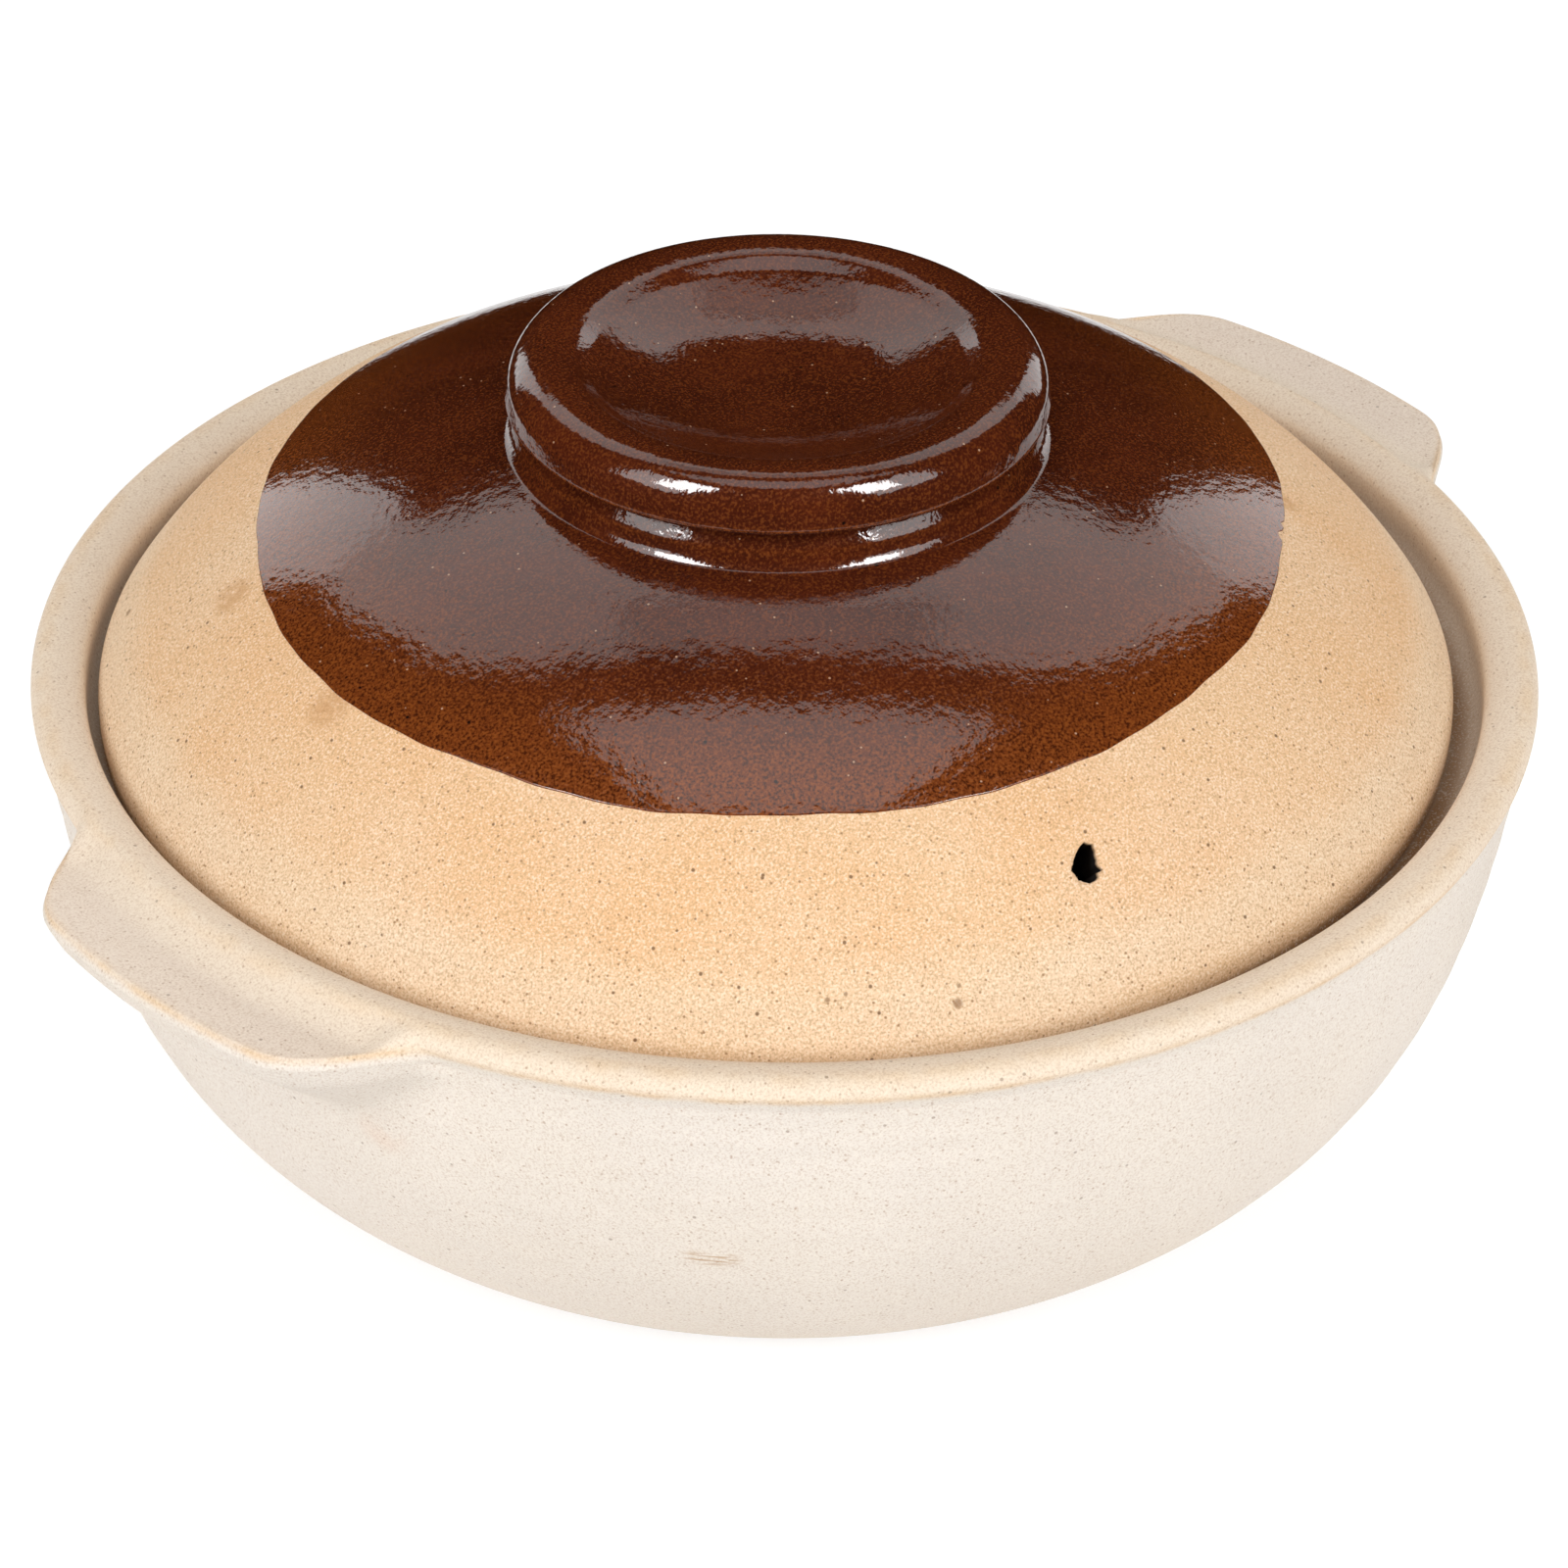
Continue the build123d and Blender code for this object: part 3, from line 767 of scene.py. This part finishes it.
# %% Edge of the glaze
DIP_LINE = (  # degrees and radius
    (0, 74.9), (30, 75.2), (60, 75.4), (95, 75.4), (125, 75.0), (144, 75.0), (159, 76.0), (171, 76.8),
    (194, 76.2), (210, 76.8), (226, 76.5), (241, 76.4), (252, 76.0), (272, 74.7), (290, 74.0),
    (306, 72.8), (330, 74.0),
)
DIP_WAVES = 16
EDGE_WAVES = ((7, 0.10, 2.1), (13, 0.08, 4.0), (29, 0.06, 1.2), (53, 0.05, 5.1))
EDGE_CHIPS = ((309.5, 0.9, 0.9), (312.0, 0.5, 0.5))

even_degrees = np.degrees(even_angles)
dip_degrees, dip_radii = np.transpose(DIP_LINE)
dip_wave = np.fft.rfft(np.interp(even_degrees, dip_degrees, dip_radii, period=360))
dip_wave[DIP_WAVES:] = 0
edge_line = np.fft.irfft(dip_wave, COLUMNS) + waves(even_angles, EDGE_WAVES)
for chip_degrees, chip_depth, chip_width in EDGE_CHIPS:
    edge_line = edge_line - chip_depth * bell(apart(even_degrees, chip_degrees), chip_width)
print("glaze edge from", edge_line.min(), "to", edge_line.max())

# %% Rings of the glaze coat
EDGE_ROUND = 0.2

coat_share = np.sin(np.linspace(0, math.pi / 2, 56))[:, None]
coat_reach = FOOT_REACH + coat_share * (edge_line - EDGE_ROUND - FOOT_REACH)
coat_radius, coat_height = dome_point(coat_reach, CROWN_COAT)
round_turn = np.linspace(0, math.pi / 2, 7)[1:, None]
round_reach = edge_line - EDGE_ROUND + EDGE_ROUND * np.sin(round_turn)
round_rise = CROWN_COAT * np.cos(round_turn) - SUNK * (1 - np.cos(round_turn))
round_radius, round_height = dome_point(round_reach, round_rise)
back_share = np.linspace(1, 0.03, 14)[:, None]
back_radius, back_height = dome_point(edge_line * back_share, -SUNK)
knob_radius, knob_height = all_round(knob_outline[1:], COLUMNS)
down_slope_radius = np.concatenate([coat_radius, round_radius, back_radius[1:]])[::-1]
down_slope_height = np.concatenate([coat_height, round_height, back_height[1:]])[::-1]
glaze_radius = np.concatenate([down_slope_radius, knob_radius])
glaze_height = np.concatenate([down_slope_height, knob_height])
shape = glaze_radius.shape
print("rings and columns of the glaze:", shape)

# %% Thin places, a pit, and the glaze coat
THIN_WIDTH = 12.0
ROLL_THIN = 0.9
TOOL_RIDGE_THIN = 0.27
SHARP_WIDTH = 0.45
PIT_DEGREES = 284.6
PIT_Z = TOP_Z - 2.9
PIT_DEPTH = 0.45
PIT_WIDTH = 0.9

thin = bell(np.clip(edge_line - glaze_radius, 0, None), THIN_WIDTH) * (glaze_height < FOOT_Z + 1)
for sharp, share in ((roll_edge, ROLL_THIN), (tool_ridge, TOOL_RIDGE_THIN)):
    thin = thin + share * bell(np.hypot(glaze_radius - sharp[0], glaze_height - sharp[1]), SHARP_WIDTH)
pit_across = np.radians(apart(even_degrees, PIT_DEGREES)) * KNOB_OUTSIDE
pit = PIT_DEPTH * bell(pit_across, PIT_WIDTH) * bell(glaze_height - PIT_Z, PIT_WIDTH)
glaze_radius = glaze_radius - pit * (glaze_radius > crest[0])
glaze_quads, glaze_fans = ring_faces(*shape)
glaze_coat = make_piece(
    "glaze_coat",
    ring_points(glaze_radius, glaze_height, even_angles, LID_AXIS),
    glaze_quads + glaze_fans,
    {"thin": on_points(thin, shape)},
    "lid",
    "brown_glaze",
    "lid_top_glaze",
    "lid_knob",
)

# %% [markdown]
# ## Writing materials as sums
# A material is a web of nodes. Wiring each one by hand buries the idea, so one small class wraps a
# socket: arithmetic on it adds Math nodes, and one method adds any other node.

# %% Sockets that can be added and multiplied
class Flow:
    """A socket of a node tree. Operators on it add Math nodes, and node adds any other node."""

    def __init__(self, tree, socket=None):
        self.tree = tree
        self.socket = socket

    def node(self, kind, settings, sockets, output=0):
        made = self.tree.nodes.new(kind)
        for name, value in settings.items():
            setattr(made, name, value)
        for name, value in sockets.items():
            if isinstance(value, Flow):
                self.tree.links.new(value.socket, made.inputs[name])
            else:
                made.inputs[name].default_value = value
        return Flow(self.tree, made.outputs[output] if len(made.outputs) else None)

    def math(self, operation, first, second):
        return self.node("ShaderNodeMath", {"operation": operation}, {0: first, 1: second})

    def __add__(self, other):
        return self.math("ADD", self, other)

    def __radd__(self, other):
        return self.math("ADD", other, self)

    def __sub__(self, other):
        return self.math("SUBTRACT", self, other)

    def __rsub__(self, other):
        return self.math("SUBTRACT", other, self)

    def __mul__(self, other):
        return self.math("MULTIPLY", self, other)

    def __rmul__(self, other):
        return self.math("MULTIPLY", other, self)

    def __truediv__(self, other):
        return self.math("DIVIDE", self, other)


print("a socket can:", [name for name, part in vars(Flow).items() if callable(part)])

# %% Words for finishes
def finish_tree(name):
    """New material and the empty flow of its node tree."""
    material = bpy.data.materials.new(name)
    material.use_nodes = True
    material.node_tree.nodes.clear()
    return material, Flow(material.node_tree)


def colour(red, green, blue):
    return (red, green, blue, 1.0)


def mix(share, under, over):
    sockets = {0: share, 6: under, 7: over}
    return share.node("ShaderNodeMix", {"data_type": "RGBA"}, sockets, 2)


def ramp(value, low, high):
    """0 below low, 1 above high and a smooth rise between."""
    sockets = {"Value": value, "From Min": low, "From Max": high}
    return value.node("ShaderNodeMapRange", {"interpolation_type": "SMOOTHSTEP"}, sockets)


def place(tree):
    """Point of the surface in metres, in the pot's own frame."""
    return tree.node("ShaderNodeTexCoord", {}, {}, "Object")


def cloud(at, size_mm, detail=2.0, roughness=0.5):
    """Noise from 0 to 1 whose lumps are about size_mm across."""
    sockets = {"Vector": at, "Scale": 1 / (size_mm * MM), "Detail": detail, "Roughness": roughness}
    return at.node("ShaderNodeTexNoise", {}, sockets, "Fac")


def specks(at, spacing_mm, size_mm, share):
    """Round specks, 1 in the middle, in a share of the cells of a scattered grid."""
    sockets = {"Vector": at, "Scale": 1 / (spacing_mm * MM)}
    distance = at.node("ShaderNodeTexVoronoi", {}, sockets, "Distance")
    lot = at.node("ShaderNodeTexVoronoi", {}, sockets, "Color")
    lot = at.node("ShaderNodeSeparateColor", {}, {"Color": lot}, "Red")
    size = size_mm / spacing_mm / 2
    return (1 - ramp(distance, size * 0.55, size)) * ramp(lot, 1 - share, 1 - share + 0.02)


def far_from(at, centre_mm, squeezes):
    """Distance from a point, in millimetres, with each axis squeezed or drawn out."""
    centre = [value * MM * share for value, share in zip(centre_mm, squeezes)]
    squeezed = at.node("ShaderNodeVectorMath", {"operation": "MULTIPLY"}, {0: at, 1: squeezes})
    sockets = {0: squeezed, 1: centre}
    return at.node("ShaderNodeVectorMath", {"operation": "DISTANCE"}, sockets, "Value") / MM


def from_axis(at, axis):
    """Distance from an upright axis, in millimetres."""
    return far_from(at, (*axis, 0.0), (1.0, 1.0, 0.0))


def dab(at, centre_mm, size_mm, squeeze=1.0):
    """1 round a point, fading to 0 at a distance from it; squeeze makes the dab less high."""
    return 1 - ramp(far_from(at, centre_mm, (1.0, 1.0, squeeze)), size_mm * 0.35, size_mm)


def mark(tree, name):
    return tree.node("ShaderNodeAttribute", {"attribute_name": name}, {}, "Fac")


def close(material, shader):
    shader.node("ShaderNodeOutputMaterial", {}, {"Surface": shader})
    print(material.name, len(material.node_tree.nodes), "nodes")
    return material


print("words:", [word.__name__ for word in (mix, ramp, cloud, specks, dab, mark, from_axis)])

# %% [markdown]
# ## Bare clay
# Both clays are earthenware full of fine sand: pale cream on the pot, apricot on the lid, with brown
# iron specks half a millimetre wide. Bare clay is matt, so all its interest is in small changes of
# colour and in the grain: slow clouds, sand grains with painted shade in their hollows, and single
# specks. Use has left its marks as well: worn edges, a few pits and smudges on the lid and a scuff on
# the wall. Painted shade darkens the gap where lid and rim meet, the lower side of the lid and the
# tunnel of the vent.

# %% Sandy clay
CLAY_CLOUD = colour(0.90, 0.80, 0.66)
GRAIN_PAINTED_SHADE = colour(0.42, 0.24, 0.11)
PALE_SAND = colour(1.0, 0.93, 0.80)
SMALL_IRON = colour(0.34, 0.17, 0.07)
LARGE_IRON = colour(0.20, 0.10, 0.045)


def sandy(at, base, depth):
    """Base colour with slow clouds, sand grains with painted shade in their hollows and iron specks, and
    the bump of the grains.
    """
    grains = cloud(at, 0.34, 1.0, 0.6)
    clay = mix(ramp(cloud(at, 22.0, 3.0), 0.35, 0.7) * 0.12, base, CLAY_CLOUD)
    # Painted shade where the grain noise, and so the bump, is low.
    clay = mix(ramp(0.5 - grains, 0.0, 0.18) * (0.46 * depth), clay, GRAIN_PAINTED_SHADE)
    clay = mix(ramp(grains, 0.52, 0.70) * (0.38 * depth), clay, PALE_SAND)
    clay = mix(specks(at, 1.2, 0.48, 0.70) * (0.8 * depth), clay, SMALL_IRON)
    clay = mix(specks(at, 3.0, 0.66, 0.45) * (0.9 * depth), clay, LARGE_IRON)
    return clay, grains


def clay_shader(base, grains, bump_mm):
    bumped = {"Height": grains, "Strength": 0.35, "Distance": bump_mm * MM}
    normal = grains.node("ShaderNodeBump", {}, bumped)
    sockets = {"Base Color": base, "Roughness": 0.88, "Normal": normal, "Specular IOR Level": 0.18}
    return base.node("ShaderNodeBsdfPrincipled", {}, sockets)


print("sand and iron:", PALE_SAND, SMALL_IRON, LARGE_IRON)

# %% Clay of the lid
APRICOT = colour(0.775, 0.470, 0.243), colour(0.785, 0.510, 0.288)
PALE_BAND = colour(0.85, 0.67, 0.47)
EDGE_LINE = colour(0.66, 0.42, 0.20)
# Colour of the painted shade on the lid's lower side.
LID_FOOT_PAINTED_SHADE = colour(0.17, 0.08, 0.028)
SMUDGE = colour(0.56, 0.29, 0.12)
PIT_SHADE = colour(0.26, 0.13, 0.06)
VENT_PAINTED_SHADE = colour(0.012, 0.008, 0.006)
LID_SMUDGES = ((78.4, 173.2, 4.6), (79.5, 148.5, 4.5), (73.9, 317.5, 2.6))  # radius, degrees, size
LID_PITS = (
    (94.85, 229.4, 0.5), (94.43, 230.9, 0.4), (96.07, 239.9, 0.95), (94.68, 240.2, 0.4),
    (94.67, 134.8, 0.9),
)


def on_lid(radius, degrees):
    """Point of the dome's skin at a radius and an angle about the lid's own axis."""
    flat, height = dome_point(radius, 0.0)
    return (*(LID_AXIS + heading(degrees) * flat), height)


def lid_clay():
    material, tree = finish_tree("lid_clay")
    at = place(tree)
    radius = from_axis(at, LID_AXIS) + cloud(at, 9.0, 2.0) * 1.6 - 0.8
    height = tree.node("ShaderNodeSeparateXYZ", {}, {0: at}, "Z") / MM
    band = ramp(radius, LID_RADIUS - 9.0, LID_RADIUS - 3.0)
    side = ramp(radius, LID_RADIUS - 3.0, LID_RADIUS - 1.2)
    # Painted shade: foot darkens the low part of the lid's side, down in the gap above the ledge.
    foot = side * (1 - ramp(height, LEDGE_Z + 2.3, LEDGE_Z + 4.0))
    rim_line = ramp(radius, LID_RADIUS - 1.0, LID_RADIUS)
    base = mix(ramp(cloud(at, 30.0), 0.3, 0.7), *APRICOT)
    base = mix(band * 0.55, base, PALE_BAND)
    base = mix(rim_line * 0.3, base, EDGE_LINE)
    # Painted shade on the lid's lower side.
    base = mix(foot * 0.85, base, LID_FOOT_PAINTED_SHADE)
    sand, grains = sandy(at, base, 1.0)
    for radius_mm, degrees, size_mm in LID_SMUDGES:
        smudge = dab(at, on_lid(radius_mm, degrees), size_mm) * ramp(cloud(at, 1.6), 0.2, 0.6)
        sand = mix(smudge * 0.6, sand, SMUDGE)
    for radius_mm, degrees, size_mm in LID_PITS:
        sand = mix(dab(at, on_lid(radius_mm, degrees), size_mm) * 0.7, sand, PIT_SHADE)
    # Painted shade: the walls of the vent's tunnel are nearly black.
    sand = mix(mark(tree, "vent"), sand, VENT_PAINTED_SHADE)
    return close(material, clay_shader(sand, grains, 0.12))


lid_shell.data.materials.append(lid_clay())

# %% Clay of the pot
CREAM = colour(0.775, 0.70, 0.622), colour(0.795, 0.725, 0.655)
RIM_CLAY = colour(0.81, 0.675, 0.535)
LUG_CLAY = colour(0.78, 0.66, 0.56)
WORN_CLAY = colour(0.74, 0.49, 0.25)
# Colour of the painted shade in the gap between lid and rim.
GALLERY_PAINTED_SHADE = colour(0.20, 0.092, 0.03)
BLUSH = colour(0.72, 0.45, 0.32)
BLUSH_PLACE = (-102.8, -26.4, 45.6)
SCUFF = colour(0.52, 0.33, 0.18)
SCUFF_PLACE = (-79.0, -65.8, 33.2)
STREAKS = (1.0, 1.0, 10.0)


def pot_clay():
    material, tree = finish_tree("pot_clay")
    at = place(tree)
    wander = ramp(cloud(at, 6.0, 3.0), 0.3, 0.65)
    base = mix(ramp(cloud(at, 40.0), 0.3, 0.7), *CREAM)
    base = mix(mark(tree, "rim"), base, RIM_CLAY)
    base = mix(mark(tree, "lug") * 0.8, base, LUG_CLAY)
    base = mix(mark(tree, "worn") * (0.2 + 0.65 * wander), base, WORN_CLAY)
    # Painted shade in the gap between lid and rim, from the corner mark.
    base = mix(mark(tree, "corner") * 0.95, base, GALLERY_PAINTED_SHADE)
    base = mix(dab(at, BLUSH_PLACE, 5.5) * (0.25 * wander), base, BLUSH)
    sand, grains = sandy(at, base, 0.55)
    streaked = tree.node("ShaderNodeVectorMath", {"operation": "MULTIPLY"}, {0: at, 1: STREAKS})
    scuff = dab(at, SCUFF_PLACE, 5.2, 2.4) * ramp(cloud(streaked, 5.0, 2.0), 0.46, 0.60)
    sand = mix(scuff * 0.85, sand, SCUFF)
    return close(material, clay_shader(sand, grains, 0.10))


pot_body.data.materials.append(pot_clay())

# %% [markdown]
# ## Brown glaze
# The glaze is dark reddish brown glass over sandy clay. Rust and black grains float in it, it is paler
# where it runs thin at its edge, and its skin is pebbled so finely that the edges of every reflection
# look torn. One glossy surface with a mottled colour and a fine bump gives all of it.

# %% Brown glaze
BROWN = colour(0.057, 0.0108, 0.0042), colour(0.083, 0.0160, 0.0054)
THIN_BROWN = colour(0.17, 0.040, 0.008)
RUST = colour(0.26, 0.070, 0.012)
BLACK_GRAIN = colour(0.016, 0.004, 0.002)
PALE_SPECK = colour(0.52, 0.32, 0.20)
BLACK_SPECK = colour(0.006, 0.003, 0.002)


def brown_glaze():
    material, tree = finish_tree("brown_glaze")
    at = place(tree)
    thin = mark(tree, "thin")
    grains = cloud(at, 0.42, 1.0, 0.6)
    base = mix(ramp(cloud(at, 14.0, 3.0), 0.3, 0.7), *BROWN)
    base = mix(tree.math("MINIMUM", thin, 1.0) * 0.8, base, THIN_BROWN)
    base = mix(ramp(grains, 0.50, 0.66) * (0.31 + 0.34 * thin), base, RUST)
    base = mix(ramp(0.5 - grains, 0.02, 0.16) * (0.37 + 0.34 * thin), base, BLACK_GRAIN)
    base = mix(specks(at, 2.0, 0.42, 0.26) * 0.8, base, PALE_SPECK)
    base = mix(specks(at, 3.4, 0.65, 0.28) * 0.9, base, BLACK_SPECK)
    pebbles = cloud(at, 1.5, 2.0, 0.65) * 1.5 + cloud(at, 6.0) * 2.0
    bumped = {"Height": pebbles, "Strength": 0.34, "Distance": 0.10 * MM}
    normal = tree.node("ShaderNodeBump", {}, bumped)
    roughness = 0.065 + ramp(grains, 0.45, 0.75) * 0.06
    sockets = {"Base Color": base, "Roughness": roughness, "Normal": normal, "IOR": 1.52}
    return close(material, tree.node("ShaderNodeBsdfPrincipled", {}, sockets))


glaze = brown_glaze()
glaze_coat.data.materials.append(glaze)
inner_glaze.data.materials.append(glaze)

# %% [markdown]
# ## Studio
# The glaze mirrors the room, so one set of lamps stands where the reflections show them: a panel
# overhead, a key light at each side, and behind the pot an arch of light on two legs round a dark
# middle. A second, softer set lights the bare clay and stays out of the reflections. A picture of a
# studio could light the scene from the world, but panels can be named, moved and measured. Directions
# are given as the camera sees them: right, away and up.

# %% Lamps
RIGHT = Vector((math.cos(CAMERA_AZIMUTH), math.sin(CAMERA_AZIMUTH), 0.0))
AWAY = Vector((-math.sin(CAMERA_AZIMUTH), math.cos(CAMERA_AZIMUTH), 0.0))
UP = Vector((0.0, 0.0, 1.0))
LAMP_CENTRE = Vector((0.0, 0.0, 95.0 * MM))
MIRRORED = {  # place, direction it faces, long side, size in metres, brightness
    "overhead": ((0.01, -0.18, 1.55), (0.0, -0.88, -0.47), (1.0, 0.0, 0.0), (0.88, 1.25), 1.8),
    "leg": ((1.077, 1.442, 0.49), (-0.598, -0.801, 0.0), (0.801, -0.598, 0.0), (0.46, 1.14), 2.2),
    "key": ((0.94, -0.57, 1.15), (-0.59, 0.36, -0.72), (0.52, 0.85, 0.0), (0.72, 0.90), 4.0),
    "key_core": ((0.77, -0.64, 1.25), (-0.48, 0.40, -0.78), (0.64, 0.77, 0.0), (0.38, 0.66), 20.0),
}
SOFT = {
    "soft_front": ((0.0, -0.95, 1.28), (0.0, 0.60, -0.80), (1.0, 0.0, 0.0), (1.6, 0.9), 2.95),
    "soft_side": ((1.22, -0.82, 0.60), (-0.76, 0.51, -0.37), (0.57, 0.82, 0.0), (1.2, 0.9), 3.9),
    "soft_back": ((0.0, 1.55, 0.38), (0.0, -0.97, -0.24), (1.0, 0.0, 0.0), (1.6, 0.9), 2.3),
    "soft_top": ((0.0, 0.55, 1.50), (0.0, -0.34, -0.94), (1.0, 0.0, 0.0), (1.4, 1.0), 0.75),
}
BOTH_SIDES = ("leg", "key", "key_core", "soft_side")


def in_view(right, away, up):
    return RIGHT * right + AWAY * away + UP * up


def add_lamp(name, side, spot, faces, long_side, size, brightness):
    """Rectangular panel; side -1 sets it out on the left instead of the right."""
    data = bpy.data.lights.new(name, "AREA")
    data.shape = "RECTANGLE"
    data.size, data.size_y = size
    data.energy = brightness * math.pi * size[0] * size[1]
    lamp = bpy.data.objects.new(name, data)
    back = -in_view(side * faces[0], *faces[1:]).normalized()
    across = in_view(side * long_side[0], *long_side[1:])
    across = (across - back * across.dot(back)).normalized()
    turn = Matrix((across, back.cross(across), back)).transposed()
    lamp.matrix_world = Matrix.Translation(LAMP_CENTRE + in_view(side * spot[0], *spot[1:])) @ turn.to_4x4()
    lamp.visible_camera = False
    lamp.visible_glossy = name in MIRRORED
    lamp.visible_diffuse = name in SOFT
    bpy.context.scene.collection.objects.link(lamp)
    print(name, side, "watts:", round(data.energy, 2))


for name, settings in {**MIRRORED, **SOFT}.items():
    add_lamp(name, 1, *settings)
    if name in BOTH_SIDES:
        add_lamp(name, -1, *settings)

# %% Arch of light
ARCH_HEIGHT = 1.5
DIM_MIDDLE = ((-0.26, 0.335), (0.26, 0.335), (0.26, 0.545), (-0.26, 0.545))
NOTCH = ((-0.26, 0.335), (-0.26, 0.563), (0.26, 0.563), (0.26, 0.335))
RIGHT_LEG = (
    (0.45, 0.325), (0.58, 0.38), (0.70, 0.47), (0.88, 0.70), (1.08, 0.97), (1.18, 1.22), (0.90, 1.44),
    (0.72, 1.22), (0.52, 1.25), (0.40, 1.26), (0.30, 0.94), (0.18, 0.80),
)
LEFT_LEG = tuple((-right, away) for right, away in reversed(RIGHT_LEG))
ARCH_TOP = (0.0, 0.77)
ARCH_PANELS = ((1.2, DIM_MIDDLE), (1.7, (*NOTCH, *RIGHT_LEG, ARCH_TOP, *LEFT_LEG)))
ARCH_WHITE = colour(1.0, 0.97, 0.95)

for number, (brightness, outline) in enumerate(ARCH_PANELS):
    arch_corners = [LAMP_CENTRE + in_view(right, away, 1.0) * ARCH_HEIGHT for right, away in outline]
    arch_mesh = bpy.data.meshes.new(f"arch_{number}")
    arch_mesh.from_pydata([tuple(corner) for corner in arch_corners], [], [list(range(len(outline)))])
    arch = bpy.data.objects.new(f"arch_{number}", arch_mesh)
    arch.visible_camera = arch.visible_diffuse = arch.visible_shadow = False
    bpy.context.scene.collection.objects.link(arch)
    arch_material, tree = finish_tree(f"arch_{number}")
    glow = tree.node("ShaderNodeEmission", {}, {"Color": ARCH_WHITE, "Strength": brightness})
    arch_mesh.materials.append(close(arch_material, glow))

# %% [markdown]
# ## Room and floor
# The pot stands on white paper that runs on without an edge. A bright world could whiten the picture,
# but it would light the clay flat from all sides. So the room stays dim, and the paper itself is nearly
# white to the camera and in mirrors, and still takes the pot's shadow. Away from the pot it fades out of
# the glaze's reflections, because the photograph shows a dark room there.

# %% Room and floor
WHITE = colour(1.0, 1.0, 1.0)
PAPER = colour(0.95, 0.95, 0.95)
ROOM_GREY = 0.06
FLOOR_RADIUS = 12.0
FLOOR_SIDES = 64
FLOOR_WHITE = 0.7
FLOOR_GLOW = 1.15
FLOOR_BOUNCE = 0.2
MIRRORED_FLOOR = (340.0, 365.0)

world = bpy.data.worlds.new("room")
world.use_nodes = True
world.node_tree.nodes["Background"].inputs["Color"].default_value = WHITE
world.node_tree.nodes["Background"].inputs["Strength"].default_value = ROOM_GREY
bpy.context.scene.world = world
world.cycles_visibility.glossy = False

floor_mesh = bpy.data.meshes.new("floor")
floor_turns = np.linspace(0, 2 * math.pi, FLOOR_SIDES, endpoint=False)
corners = [(math.cos(turn) * FLOOR_RADIUS, math.sin(turn) * FLOOR_RADIUS, 0.0) for turn in floor_turns]
floor_mesh.from_pydata(corners, [], [list(range(FLOOR_SIDES))])
floor_object = bpy.data.objects.new("floor", floor_mesh)
bpy.context.scene.collection.objects.link(floor_object)


def ray(tree, kind):
    """1 where the paper is met by that kind of ray."""
    return tree.node("ShaderNodeLightPath", {}, {}, kind)


floor_material, tree = finish_tree("pale_floor")
matt = tree.node("ShaderNodeBsdfDiffuse", {}, {"Color": PAPER})
white = tree.node("ShaderNodeEmission", {}, {"Color": WHITE, "Strength": FLOOR_GLOW})
seen = ray(tree, "Is Camera Ray") + ray(tree, "Is Glossy Ray") + ray(tree, "Is Transmission Ray")
shown = tree.math("MINIMUM", seen, 1.0) * FLOOR_WHITE + ray(tree, "Is Diffuse Ray") * FLOOR_BOUNCE
pale = tree.node("ShaderNodeMixShader", {}, {0: shown, 1: matt, 2: white})
unlit = tree.node("ShaderNodeEmission", {}, {"Strength": 0.0})
far_away = ramp(from_axis(place(tree), (0.0, 0.0)), *MIRRORED_FLOOR) * ray(tree, "Is Glossy Ray")
paper = tree.node("ShaderNodeMixShader", {}, {0: far_away, 1: pale, 2: unlit})
floor_object.data.materials.append(close(floor_material, paper))

# %% [markdown]
# ## Colour management
# The Standard view shows each colour as it was written; a filmic one would grey the white paper.

# %% Colour management
bpy.context.scene.view_settings.view_transform = "Standard"
